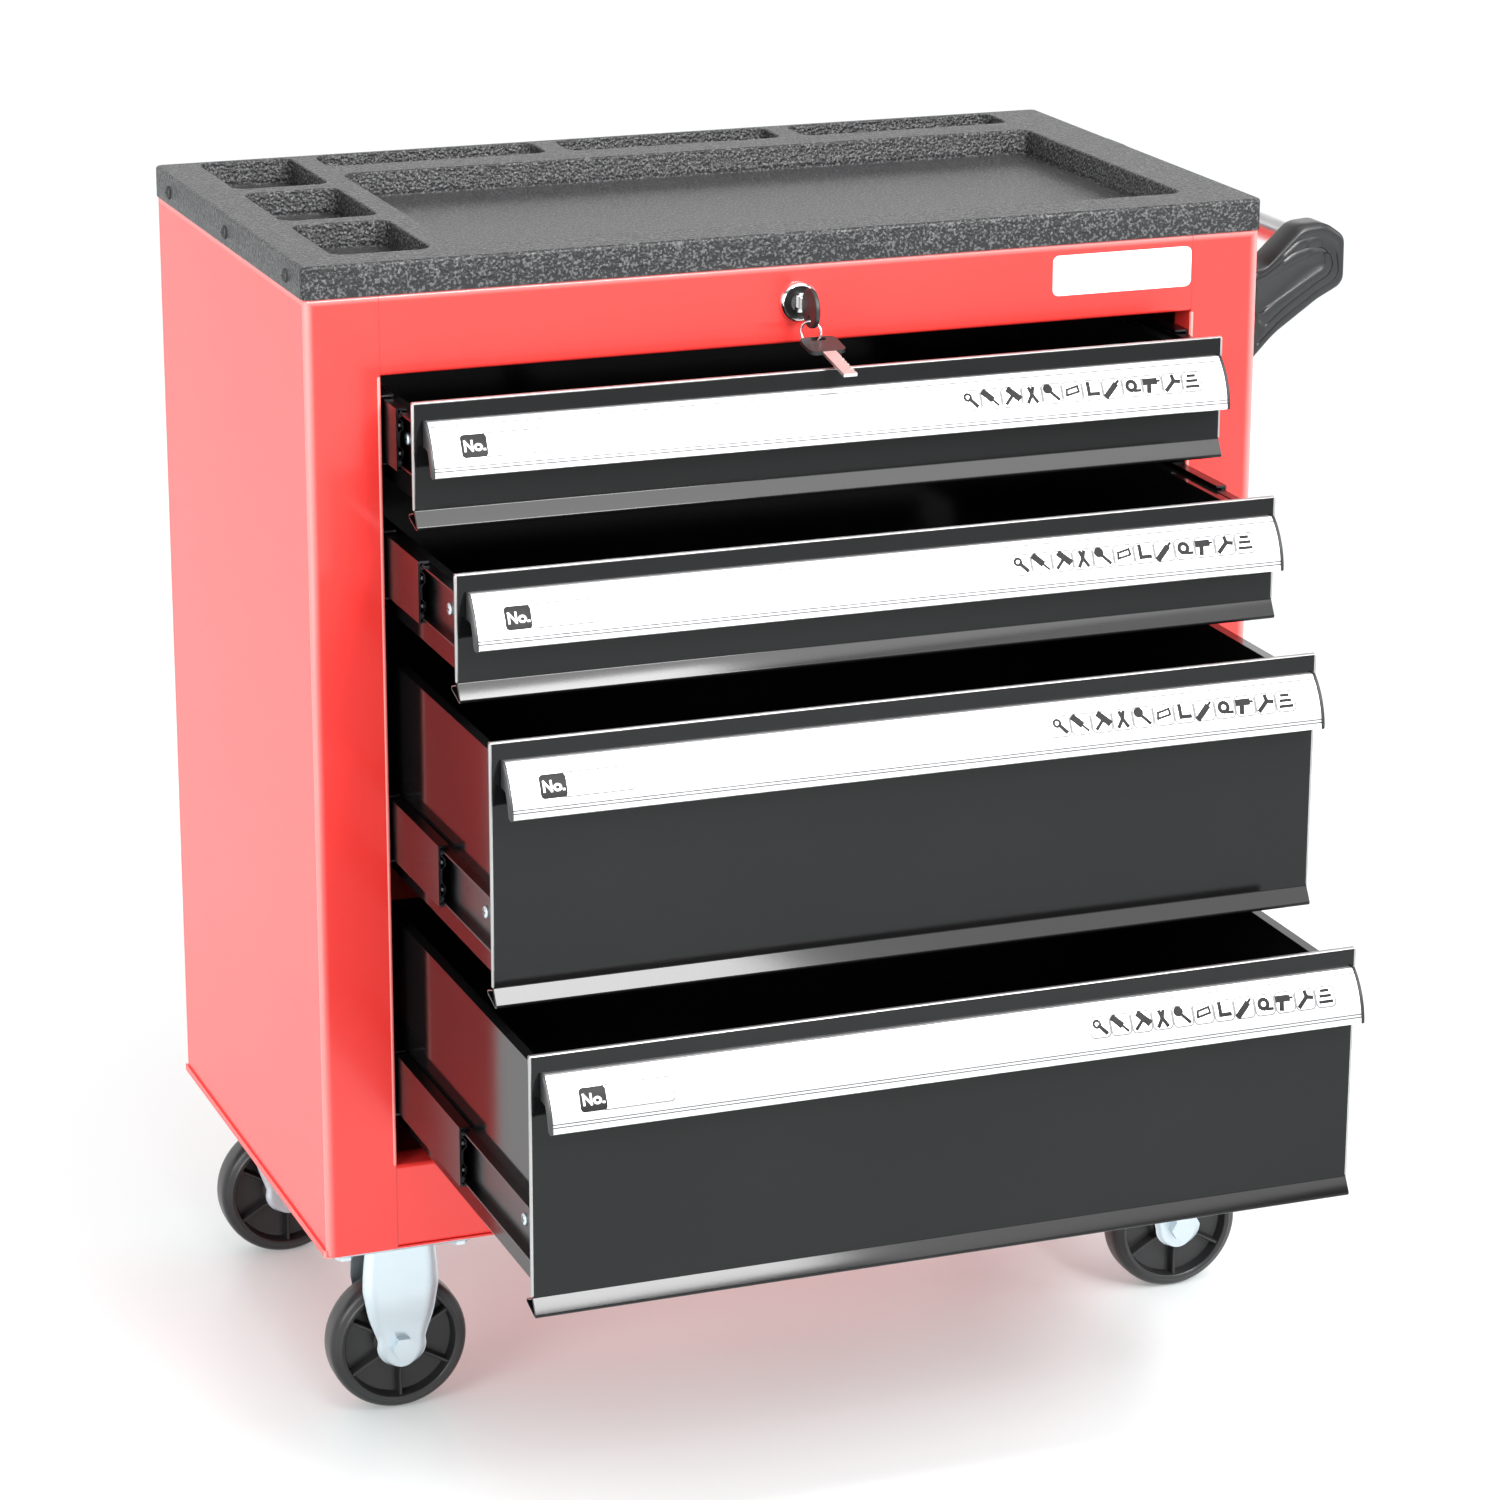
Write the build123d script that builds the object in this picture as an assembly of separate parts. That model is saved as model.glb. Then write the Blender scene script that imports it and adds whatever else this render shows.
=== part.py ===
from build123d import *
import math
import os

os.makedirs("parts", exist_ok=True)

# A four-drawer rolling tool box.  Millimetres, +Z up, the floor at Z = 0.
# While it is drawn, X = 0 is the middle of the cabinet and Y = 0 its front face,
# with the drawers opening towards -Y.  write() then moves every piece so that the
# origin is the bottom centre of the whole object with its drawers open as shown.

# ---- cabinet --------------------------------------------------------------
CAB_W = 614.0          # width over the side panels
CAB_D = 342.0          # depth, front face to back flanges
PITCHES = (82.0, 82.0, 164.0, 164.0)   # height that each drawer takes up, top to bottom
TOP_RAIL_H = 48.5
BOTTOM_RAIL_H = 55.0
POST_W = 45.3          # width of the front posts
SHEET = 1.2            # cabinet steel
BEND = 2.5             # outer radius of the cabinet's bent edges
RETURN = 22.0          # depth of the flanges turned in behind the front
BACK_FLANGE = 17.0
TOP_FLANGE = 20.0
HEM_H = 4.5            # the bottom panel's hem outside the side panels
CLEAR = 0.3            # general clearance between pieces that do not seat

# ---- worktop tray ---------------------------------------------------------
TRAY_OVER = 1.0        # how far the tray stands out past the sides
TRAY_OVER_Y = 2.0      # and past the front and the back
TRAY_H = 19.5
TRAY_WALL = 2.5
TRAY_CORNER = 5.0
TRAY_EDGE = 2.2        # rounding of the tray's top edge
POCKET_EDGE = 1.2      # rounding of the pockets' rims
POCKET_R = 9.0
DRAFT = 7.0            # degrees of draft on the pocket walls
EDGE_LEFT = 27.0       # lands between the tray's edges and the pockets
EDGE_RIGHT = 38.0
EDGE_BACK = 6.0
EDGE_FRONT = 28.5
MAIN_FRONT = 34.5      # the same in front of the main pocket
BIN_W = 61.0
BIN_LAND = 15.5        # land between two pockets
MAIN_LAND = 28.0       # land between the main pocket and the row behind it
ROW_D = 37.5           # depth of the row of long bins at the back
SCREW_R = 2.0
SCREW_HEAD_R = 4.2
SCREW_HEAD_H = 1.8
SCREW_DROP = 11.6      # tray screws below the tray's top
SCREW_EDGE = 36.0      # end tray screws from the tray's front and back edges
TRAY_SCREW_L = 8.0
BRACKET_SCREW_L = 10.0

# ---- drawers --------------------------------------------------------------
OPEN_SHARES = (0.184, 0.462, 0.676, 0.907)   # how far each drawer stands open, of its full travel
FRONT_GAP = 3.0        # beside each drawer front
TOP_GAP = 5.0          # above the top drawer front
ROW_GAP = 6.0          # below each drawer front's lip
STACK_EXTRA = 4.0      # opening height beyond the sum of the pitches
FRONT_T = 1.0
FRONT_BEND = 1.3       # outer radius of the front's folds
FRONT_HEM = 4.0
HEM_DROP = 6.0
LIP_DROP = 12.0
LIP_OUT = 7.0
LIP_BACK = 15.0
LIP_BACK_DROP = 5.5
BOX_T = 1.0
BOX_BEND = 1.5
BOX_TOP_DROP = 12.0    # box walls below the top of the drawer front
BOX_HEM = 6.4
BOX_BACK_GAP = 26.0    # drawer box to the back panel when closed, room for the lock bar

# ---- drawer slides --------------------------------------------------------
SLIDE_T = 10.7         # from the drawer wall to the post's return flange
SLIDE_FRONT = 3.0      # front end of the fixed members behind the cabinet's face
SLIDE_BACK = 43.0      # their rear end ahead of the cabinet's back
SLIDE_KEPT = 16.0      # length that stays engaged when a drawer is fully open
SLIDE_UP = 36.0        # slide's centre line above the drawer's bottom bend
OUTER_H = 42.0
SLIDE_SHEET = 1.2
BALL_GAP = 1.1         # room for the balls between two members
OUTER_GAP = 2.0        # fixed members to the drawer's wall
MID_GAP = 1.6          # middle members to the drawer's wall
UPRIGHT_D = 30.0       # depth of the uprights behind the fixed members
UPRIGHT_END = 4.0      # uprights ahead of the fixed members' rear ends

# ---- pulls ----------------------------------------------------------------
PULL_DROP = 11.5       # top of the pull below the top of the drawer front
PULL_H = 29.5
PULL_OUT = 17.5
PULL_T = 1.8
PULL_TOP = 3.0         # flat top of the pull
PULL_FOOT = 12.5       # flange that lies on the drawer front
PULL_BULGE = (0.745, 0.46)   # middle of the pull's curve, as shares of its reach and height
PULL_ROOT = 0.9        # thickening where the curve meets the flange
PULL_INSET_LEFT = 8.5
PULL_INSET_RIGHT = 4.0

# ---- label plate ----------------------------------------------------------
LABEL_W = 93.5
LABEL_H = 25.0
LABEL_T = 0.6
LABEL_DROP = 7.3       # below the cabinet's top
LABEL_R = 4.0
LABEL_END = 1.0        # from the rail's right-hand end

# ---- casters --------------------------------------------------------------
WHEEL_R = 44.5
WHEEL_W = 25.0
WHEEL_ROOM = 28.0          # from the top of a wheel to the cabinet's underside
WHEELBASE_HALF = 256.0     # rigid axles and kingpins from the cabinet's middle
CASTER_FRONT = 30.0        # front caster centres behind the cabinet's face
CASTER_BACK = 50.0         # rear caster centres ahead of the cabinet's back
PLATE_L = 92.0
PLATE_W = 54.0
PLATE_T = 2.5
PLATE_R = 6.0
LEG_T = 2.5
LEG_TOP_W = 44.0
LEG_WIDE_W = 49.0
LEG_WIDE_DROP = 32.0
LEG_EYE_R = 14.0
HUB_GAP = 0.8
TRAIL = 25.0
RIM_IN = 6.5               # rim ring's middle in from the tread
RIM_WALL = 2.0
WEB_HALF = 3.5
HUB_R = 12.0
TREAD_EDGE = 6.0           # width of the tread's eased edges
RIB_T = 2.4
RIB_DROP = 2.5             # ribs behind the hub's face
RACE_R = 27.0
RACE_H = 6.5
CROWN_R = 26.0
CROWN_H = 5.0
KINGPIN_R = 5.0
KINGPIN_HEAD = 3.0         # how far its head stands out, below and all round
AXLE_R = 4.0
RUN_FIT = 0.05             # radial clearance of everything that turns
AXLE_AF = 13.0
AXLE_HEAD_H = 5.3
BOLT_END = 2.0             # bolts and axles out past their nuts
BOLT_R = 3.0
BOLT_AF = 10.0
BOLT_HEAD_H = 4.0
BOLT_INSET = 9.0

# ---- side handle ----------------------------------------------------------
TUBE_R = 9.5
TUBE_WALL = 1.5
BRACKET_T = 25.0
BRACKET_EDGE = 8.0         # front and rear brackets from the cabinet's front and back
BRACKET_OUT = 63.4
TUBE_OUT = 40.0            # tube's centre from the side panel
TUBE_DROP = 14.5           # tube's centre below the cabinet's top
SOCKET = 14.0              # depth of the tube's seat in each bracket
BRACKET_ROOT = 23.0        # top of a bracket's root below the cabinet's top
BRACKET_ROOT_H = 64.0
BRACKET_EDGE_R = 7.0
BRACKET_SCREWS = (15.0, 50.0)   # bracket screws below the top of its root
BRACKET_BORE = 12.0        # depth of the screw holes

# ---- lock -----------------------------------------------------------------
LOCK_DROP = 23.2           # lock's centre below the cabinet's top
BEZEL_R = 12.5
BEZEL_H = 4.0
BEZEL_EDGE = 1.5
BARREL_R = 9.5
BARREL_L = 26.0
PLUG_R = 6.0
NUT_AF = 24.0
NUT_H = 4.0
ROD_R = 3.0
CRANK_R = 8.0              # crank pin from the rod's centre
CRANK_RIM = 4.0            # crank disc out past its pin's centre
CRANK_T = 3.0
CRANK_GAP = 1.5            # crank disc to the lock bar
PIN_R = 2.0
PIN_PLAY = 0.6
PIN_END = 4.0              # pin's length beyond the lock bar's thickness
BAR_W = 26.0
BAR_T = 2.0
BAR_FROM_BACK = 15.0       # lock bar ahead of the back panel
BAR_HEAD = 7.0             # bar's top above the crank pin
BAR_TAIL = 90.0            # bar's foot below the lowest drawer's walls
GUIDE_H = 12.0
GUIDE_GRIP = 4.0           # how far the guides' tips reach over the bar
GUIDE_DROPS = (40.0, 60.0)      # guides below the tops of the second and last drawers
HOOK_UP = 3.0              # unlocked hooks above the drawers' back walls
HOOK_LIP = 9.0
HOOK_W = 16.0
HOOK_IN = 6.0              # hooks' tips inside the drawers' back walls
KEY_T = 2.0
KEY_W = 7.0
KEY_IN = 22.0
KEY_OUT = 5.0
KEY_FIT = 0.3
BITE_PITCH = 4.0           # the key's bitting
BITE_W = 2.0
BOW_R = 12.0
BOW_T = 3.0
BOW_EDGE = 0.8
BOW_HOLE_R = 3.0
BOW_HOLE_UP = 4.8          # hole's centre above the lowest point of the bow
RING_R = 6.6
RING_WIRE = 0.8
RING_TURN = -45.0          # the ring hangs across the bow at this angle
SPARE_W = 23.0
SPARE_H = 22.0
SPARE_T = 2.5
SPARE_CORNER = 4.0
SPARE_KEY_W = 8.5
SPARE_ROOT = 5.0           # how far the spare key's blade reaches into its bow
SPARE_SLOT_L = 9.5
SPARE_SLOT_W = 5.0
SPARE_SLOT_IN = 3.6        # slot's centre from the edge of the spare key's bow
SPARE_REACH = 53.0         # slot's centre to the spare key's tip

# ---- worked out -----------------------------------------------------------
OPENING_H = sum(PITCHES) + STACK_EXTRA
CAB_H = TOP_RAIL_H + OPENING_H + BOTTOM_RAIL_H
BASE = 2 * WHEEL_R + WHEEL_ROOM
CAB_TOP = BASE + CAB_H
TOTAL_H = CAB_TOP + TRAY_H
HALF_W = CAB_W / 2
OPEN_HALF = HALF_W - POST_W
OPEN_TOP = CAB_TOP - TOP_RAIL_H
OPEN_BOTTOM = BASE + BOTTOM_RAIL_H
TRAY_HALF = HALF_W + TRAY_OVER
TRAY_D = CAB_D + 2 * TRAY_OVER_Y
TRAY_FRONT = -TRAY_OVER_Y
FRONT_HALF = OPEN_HALF - FRONT_GAP
BOX_HALF = OPEN_HALF - SLIDE_T
BACK_IN = CAB_D - 2 * SHEET            # inner face of the back panel
BOX_D = BACK_IN - BOX_BACK_GAP
MID_H = OUTER_H - 2 * SLIDE_SHEET - 2 * BALL_GAP
INNER_H = MID_H - 2 * SLIDE_SHEET - 2 * BALL_GAP
AXLE_Z = WHEEL_R
LEG_Y = WHEEL_W / 2 + HUB_GAP
CASTER_YS = {"front": CASTER_FRONT, "rear": CAB_D - CASTER_BACK}
PLATE_BOTTOM = BASE - PLATE_T
LOCK_Z = CAB_TOP - LOCK_DROP
BAR_Y = BACK_IN - BAR_FROM_BACK
SLIDE_L = CAB_D - SLIDE_FRONT - SLIDE_BACK
FULL_TRAVEL = SLIDE_L - SLIDE_KEPT
OPENINGS = tuple(share * FULL_TRAVEL for share in OPEN_SHARES)
X_MID = (HALF_W + BRACKET_OUT - TRAY_HALF - SCREW_HEAD_H) / 2
Y_MID = (TRAY_FRONT + TRAY_D - OPENINGS[3] - PULL_OUT) / 2


def front_top(k):
    """Height of the top edge of drawer front k, counted from 0."""
    return OPEN_TOP - TOP_GAP - sum(PITCHES[:k])


def front_h(k):
    """Height of drawer front k from its top edge to the bend above its lip."""
    return PITCHES[k] - LIP_DROP - ROW_GAP


def block(x0, x1, y0, y1, z0, z1):
    """A box between two corners."""
    middle = ((x0 + x1) / 2, (y0 + y1) / 2, (z0 + z1) / 2)
    return Pos(*middle) * Box(x1 - x0, y1 - y0, z1 - z0)


def rod(axis, radius, start, length):
    """A round bar from start along +X, +Y or +Z."""
    turn = {"x": Rot(0, 90, 0), "y": Rot(-90, 0, 0), "z": Rot(0, 0, 0)}[axis]
    bar = Cylinder(radius, length, align=(Align.CENTER, Align.CENTER, Align.MIN))
    return Pos(*start) * turn * bar


def hexagon(axis, across_flats, start, length):
    """A hexagonal bar from start along +X, +Y or +Z."""
    turn = {"x": Rot(0, 90, 0), "y": Rot(-90, 0, 0), "z": Rot(0, 0, 0)}[axis]
    outline = RegularPolygon(across_flats / 2, 6, major_radius=False)
    return Pos(*start) * turn * extrude(outline, length)


def slab(outline, y0, thickness):
    """An outline in X and Z, given thickness along +Y from y0."""
    half = thickness / 2
    return Pos(0, y0 + half, 0) * extrude(Plane.XZ * outline, half, both=True)


def mirrored(shape):
    """The same piece on the other side of the cabinet."""
    return mirror(shape, Plane.YZ)


def rounded(shape, radius, *tests):
    """Round the straight edges whose middles pass one of the tests."""
    edges = [e for e in shape.edges() if any(test(e.center()) for test in tests)]
    return fillet(edges, radius)


def near(value, target):
    return abs(value - target) < 0.01


def group(solids):
    """Separate solids in one node."""
    return Compound(list(solids))


def write(name, shape):
    shape = Pos(-X_MID, -Y_MID, 0) * shape
    export_step(shape, "parts/" + name + ".step")


# ---- cabinet shell ----------------------------------------------------------
def side_panel():
    """Left side panel: the side, the front post and the turned-in flanges."""
    foot = BASE + SHEET
    shell = block(-HALF_W, -OPEN_HALF, 0, CAB_D, foot, CAB_TOP)
    shell = rounded(
        shell, BEND,
        lambda c: near(c.X, -HALF_W) and near(c.Y, 0),
        lambda c: near(c.X, -HALF_W) and near(c.Z, CAB_TOP),
        lambda c: near(c.Y, 0) and near(c.Z, CAB_TOP),
        lambda c: near(c.X, -HALF_W) and near(c.Y, CAB_D))
    top = CAB_TOP - SHEET
    shell -= block(-HALF_W + SHEET, -OPEN_HALF - SHEET, SHEET, CAB_D - SHEET, foot - 1, top)
    shell -= block(-OPEN_HALF - 2 * SHEET, -OPEN_HALF + 1, RETURN, CAB_D + 1, foot - 1, CAB_TOP + 1)
    flange = -HALF_W + TOP_FLANGE
    shell -= block(flange, -OPEN_HALF + 1, RETURN, CAB_D + 1, top - 1, CAB_TOP + 1)
    back = -HALF_W + BACK_FLANGE
    shell -= block(back, -OPEN_HALF + 1, CAB_D - 2 * SHEET, CAB_D + 1, foot - 1, CAB_TOP + 1)
    return shell


def bracket_screw_places():
    """Centres of the handle bracket screws in the side panel: (y, z)."""
    places = []
    for y0 in bracket_fronts():
        for drop in BRACKET_SCREWS:
            places.append((y0 + BRACKET_T / 2, bracket_root_top() - drop))
    return places


def right_side_panel():
    """The left panel mirrored, with holes for the handle's screws."""
    panel = mirrored(side_panel())
    for y, z in bracket_screw_places():
        panel -= rod("x", SCREW_R + CLEAR, (HALF_W - 2 * SHEET, y, z), 4 * SHEET)
    return panel


def rail(bottom, top):
    """A channel between the posts, open at the back."""
    bar = block(-OPEN_HALF, OPEN_HALF, 0, RETURN, bottom, top)
    bar = rounded(bar, BEND,
                  lambda c: near(c.Y, 0) and near(c.Z, top),
                  lambda c: near(c.Y, 0) and near(c.Z, bottom))
    inner = block(-OPEN_HALF - 1, OPEN_HALF + 1, SHEET, RETURN + 1, bottom + SHEET, top - SHEET)
    return bar - inner


def top_rail():
    """The rail over the drawers, with the lock's hole."""
    return rail(OPEN_TOP, CAB_TOP) - rod("y", BARREL_R + CLEAR, (0, -1, LOCK_Z), 4 * SHEET)


def bottom_rail():
    """The rail below the drawers, its lower flange cut away round the caster nuts."""
    bar = rail(BASE + SHEET, OPEN_BOTTOM)
    for x, y in caster_bolt_places():
        if y < RETURN:
            bar -= rod("z", BOLT_AF * 0.6 + CLEAR, (x, y, BASE), 3 * SHEET)
    return bar


def bottom_panel():
    """Floor pan whose side hems turn up outside the side panels."""
    out = HALF_W + SHEET
    pan = block(-out, out, 0, CAB_D, BASE, BASE + HEM_H)
    pan -= block(-HALF_W, HALF_W, -1, CAB_D + 1, BASE + SHEET, BASE + HEM_H + 1)
    for x, y in caster_bolt_places():
        pan -= rod("z", BOLT_R + CLEAR, (x, y, BASE - 1), 4 * SHEET)
    return pan


def back_panel():
    """Back sheet inside the side flanges, with four lanced guides for the lock bar."""
    edge = HALF_W - SHEET - CLEAR
    sheet = block(-edge, edge, BACK_IN, BACK_IN + SHEET, BASE + SHEET, CAB_TOP - SHEET)
    reach = BAR_Y - CLEAR - SHEET
    grip = BAR_W / 2 - GUIDE_GRIP
    for z in guide_heights():
        for side in (-1, 1):
            near_x = side * (BAR_W / 2 + CLEAR)
            far_x = side * (BAR_W / 2 + CLEAR + SHEET)
            tip_x = side * grip
            arm = block(min(near_x, far_x), max(near_x, far_x), reach, BACK_IN, z, z + GUIDE_H)
            tip = block(min(tip_x, far_x), max(tip_x, far_x), reach, reach + SHEET, z, z + GUIDE_H)
            sheet += arm + tip
    return sheet


def guide_heights():
    """Bottoms of the lock bar's guides, clear of its hooks."""
    return (front_top(1) - GUIDE_DROPS[0], front_top(3) - GUIDE_DROPS[1])


def top_panel():
    """Pan under the worktop tray, its sides turned up inside the tray's rim."""
    half = TRAY_HALF - TRAY_WALL - CLEAR
    front = TRAY_FRONT + TRAY_CORNER
    rear = TRAY_FRONT + TRAY_D - TRAY_CORNER
    pan = block(-half, half, front, rear, CAB_TOP, CAB_TOP + TRAY_H - TRAY_WALL - CLEAR)
    pan -= block(-half + SHEET, half - SHEET, front - 1, rear + 1, CAB_TOP + SHEET, TOTAL_H)
    for y in tray_screw_ys():
        pan -= rod("x", SCREW_R + CLEAR, (-half - 1, y, TOTAL_H - SCREW_DROP), 2 * half + 2)
    return pan


# ---- worktop tray -----------------------------------------------------------
def pockets():
    """Outlines of the tray's pockets: (x0, x1, y0, y1) at its top."""
    left = -TRAY_HALF + EDGE_LEFT
    right = TRAY_HALF - EDGE_RIGHT
    back = TRAY_FRONT + TRAY_D - EDGE_BACK
    front = TRAY_FRONT + EDGE_FRONT
    inner = left + BIN_W + BIN_LAND
    places = [(inner, right, TRAY_FRONT + MAIN_FRONT, back - ROW_D - MAIN_LAND)]
    bin_d = (back - front - 2 * BIN_LAND) / 3
    long_w = (right - inner - 2 * BIN_LAND) / 3
    for i in range(3):
        y0 = front + i * (bin_d + BIN_LAND)
        places.append((left, left + BIN_W, y0, y0 + bin_d))
        x0 = inner + i * (long_w + BIN_LAND)
        places.append((x0, x0 + long_w, back - ROW_D, back))
    return places


def pocket(x0, x1, y0, y1, depth, grow):
    """A drafted pocket, rounded at its corners, cut down from the tray's top."""
    outline = RectangleRounded(x1 - x0 + 2 * grow, y1 - y0 + 2 * grow, POCKET_R + grow)
    mould = extrude(outline, -depth, taper=DRAFT)
    return Pos((x0 + x1) / 2, (y0 + y1) / 2, TOTAL_H) * mould


def on_pocket_rim(place):
    """Whether a place is on the tray's top, at the edge of one of its pockets."""
    inside = any(x0 - CLEAR < place.X < x1 + CLEAR and y0 - CLEAR < place.Y < y1 + CLEAR
                 for x0, x1, y0, y1 in pockets())
    return inside and near(place.Z, TOTAL_H)


def tray_screw_ys():
    first = TRAY_FRONT + SCREW_EDGE
    last = TRAY_FRONT + TRAY_D - SCREW_EDGE
    return (first, (first + last) / 2, last)


def worktop_tray():
    """Moulded tray: a rim, a top skin and seven pockets that rest on the top panel."""
    middle_y = TRAY_FRONT + TRAY_D / 2
    outline = RectangleRounded(2 * TRAY_HALF, TRAY_D, TRAY_CORNER)
    tray = Pos(0, middle_y, CAB_TOP) * extrude(outline, TRAY_H)
    tray = fillet(tray.edges().group_by(Axis.Z)[-1], TRAY_EDGE)
    hollow = RectangleRounded(2 * (TRAY_HALF - TRAY_WALL), TRAY_D - 2 * TRAY_WALL, TRAY_CORNER - TRAY_WALL)
    under = Pos(0, middle_y, CAB_TOP - 1) * extrude(hollow, TRAY_H - TRAY_WALL + 1)
    seat = TRAY_H - SHEET
    for place in pockets():
        under -= pocket(*place, seat, TRAY_WALL)
    tray -= under
    tray -= block(-TRAY_HALF + TRAY_WALL, TRAY_HALF - TRAY_WALL, TRAY_FRONT + TRAY_WALL,
                  TRAY_FRONT + TRAY_D - TRAY_WALL, CAB_TOP - 1, CAB_TOP + SHEET)
    for place in pockets():
        tray -= pocket(*place, seat - TRAY_WALL, 0)
    tray = fillet([e for e in tray.edges() if on_pocket_rim(e.center())], POCKET_EDGE)
    for y in tray_screw_ys():
        z = TOTAL_H - SCREW_DROP
        tray -= rod("x", SCREW_R + CLEAR, (-TRAY_HALF - 1, y, z), 2 * TRAY_WALL)
        tray -= rod("x", SCREW_R + CLEAR, (TRAY_HALF + 1 - 2 * TRAY_WALL, y, z), 2 * TRAY_WALL)
    return tray


def pan_screw(length):
    """A pan-head screw along +X, its head's seat at X = 0 and its shank towards +X."""
    head = rod("x", SCREW_HEAD_R, (-SCREW_HEAD_H, 0, 0), SCREW_HEAD_H)
    head = fillet(head.edges().group_by(Axis.X)[0], SCREW_HEAD_H / 2)
    return head + rod("x", SCREW_R, (0, 0, 0), length)


def panel_screws():
    """Six screws in the tray's rim and four that hold the handle brackets."""
    screws = []
    for y in tray_screw_ys():
        screw = Pos(-TRAY_HALF, y, TOTAL_H - SCREW_DROP) * pan_screw(TRAY_SCREW_L)
        screws += [screw, mirrored(screw)]
    for y, z in bracket_screw_places():
        screws.append(Pos(HALF_W - SHEET, y, z) * pan_screw(BRACKET_SCREW_L))
    return group(screws)


# ---- drawers ----------------------------------------------------------------
def bent_sheet(points, radius, thickness, half_width):
    """Sheet of one thickness bent along an outline in the YZ plane."""
    path = FilletPolyline(*points, radius=radius)
    face = make_face(offset(path, thickness, side=Side.LEFT))
    return extrude(Plane.YZ * face, half_width, both=True)


def drawer_front(k):
    """Drawer front with a hem on top and a folded lip below."""
    top = front_top(k)
    bend = top - front_h(k)
    points = [(FRONT_HEM, top - HEM_DROP), (FRONT_HEM, top), (0, top), (0, bend),
              (-LIP_OUT, bend - LIP_DROP), (LIP_BACK, bend - LIP_BACK_DROP),
              (FRONT_T + CLEAR + 1, bend - CLEAR - 1)]
    return bent_sheet(points, FRONT_BEND, FRONT_T, FRONT_HALF)


def drawer_box(k):
    """Open box folded from one sheet, its side walls hemmed inwards."""
    top = front_top(k) - BOX_TOP_DROP
    floor = front_top(k) - front_h(k)
    front = FRONT_T
    box = block(-BOX_HALF, BOX_HALF, front, BOX_D, floor, top)
    box = rounded(box, BOX_BEND, lambda c: near(abs(c.X), BOX_HALF) and near(c.Z, floor))
    box -= block(-BOX_HALF + BOX_T, BOX_HALF - BOX_T, front + BOX_T, BOX_D - BOX_T,
                 floor + BOX_T, top - BOX_T)
    hole = BOX_HALF - BOX_HEM
    box -= block(-hole, hole, front + BOX_T, BOX_D - BOX_T, top - 2 * BOX_T, top + 1)
    return box


def drawer_pull(k):
    """Curved extrusion that hangs out over the fingers, open below."""
    top = front_top(k) - PULL_DROP
    low = top - PULL_H
    bulge_y = -PULL_BULGE[0] * PULL_OUT
    bulge_z = top - PULL_BULGE[1] * PULL_H
    root = (-PULL_TOP - PULL_ROOT / 2, top - PULL_T - PULL_ROOT)
    outer = ThreePointArc((-PULL_TOP, top), (bulge_y, bulge_z), (-PULL_OUT, low))
    inner = ThreePointArc((-PULL_OUT + PULL_T, low), (bulge_y + PULL_T * 0.86, bulge_z - PULL_T / 2), root)
    lines = [
        Line((0, top), (-PULL_TOP, top)),
        outer,
        Line((-PULL_OUT, low), (-PULL_OUT + PULL_T, low)),
        inner,
        Polyline(root, (-PULL_T, top - PULL_T - PULL_ROOT), (-PULL_T, top - PULL_FOOT),
                 (0, top - PULL_FOOT), (0, top)),
    ]
    face = make_face(Curve() + lines)
    left = -FRONT_HALF + PULL_INSET_LEFT
    right = FRONT_HALF - PULL_INSET_RIGHT
    half = (right - left) / 2
    return Pos(left + half, 0, 0) * extrude(Plane.YZ * face, half, both=True)


# ---- slides -----------------------------------------------------------------
def channel(web_x, open_x, height, middle_z, y0, thickness):
    """A C section along Y, its web at web_x and its flanges reaching to open_x."""
    low, high = sorted((web_x, open_x))
    bar = block(low, high, y0, y0 + SLIDE_L, middle_z - height / 2, middle_z + height / 2)
    inner_low = low + thickness if web_x < open_x else low - 1
    inner_high = high + 1 if web_x < open_x else high - thickness
    inner = block(inner_low, inner_high, y0 - 1, y0 + SLIDE_L + 1,
                  middle_z - height / 2 + thickness, middle_z + height / 2 - thickness)
    return bar - inner


def slide_z(k):
    return front_top(k) - front_h(k) + SLIDE_UP


def both_sides(piece):
    return [piece, mirrored(piece)]


def slide_outer_members():
    """The fixed members of all eight slides."""
    members = []
    for k in range(4):
        reach = -BOX_HALF - OUTER_GAP
        piece = channel(-OPEN_HALF, reach, OUTER_H, slide_z(k), SLIDE_FRONT, SLIDE_SHEET)
        members += both_sides(piece)
    return group(members)


def slide_mid(k):
    """The middle members of a drawer's two slides, half as far out as the drawer."""
    web = -OPEN_HALF + SLIDE_SHEET + BALL_GAP
    piece = channel(web, -BOX_HALF - MID_GAP, MID_H, slide_z(k), SLIDE_FRONT, SLIDE_SHEET)
    return group(both_sides(piece))


def slide_inner(k):
    """The members fixed to the drawer box, open to the outside."""
    reach = -OPEN_HALF + 2 * SLIDE_SHEET + 2 * BALL_GAP
    piece = channel(-BOX_HALF, reach, INNER_H, slide_z(k), SLIDE_FRONT, SLIDE_SHEET)
    return group(both_sides(piece))


def slide_uprights():
    """Channels near the back that carry the rear ends of the fixed slide members."""
    y1 = SLIDE_FRONT + SLIDE_L - UPRIGHT_END
    y0 = y1 - UPRIGHT_D
    post = block(-HALF_W + SHEET, -OPEN_HALF, y0, y1, OPEN_BOTTOM, OPEN_TOP)
    post -= block(-HALF_W, -OPEN_HALF - SHEET, y0 + SHEET, y1 - SHEET, OPEN_BOTTOM - 1, OPEN_TOP + 1)
    return group(both_sides(post))


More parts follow.
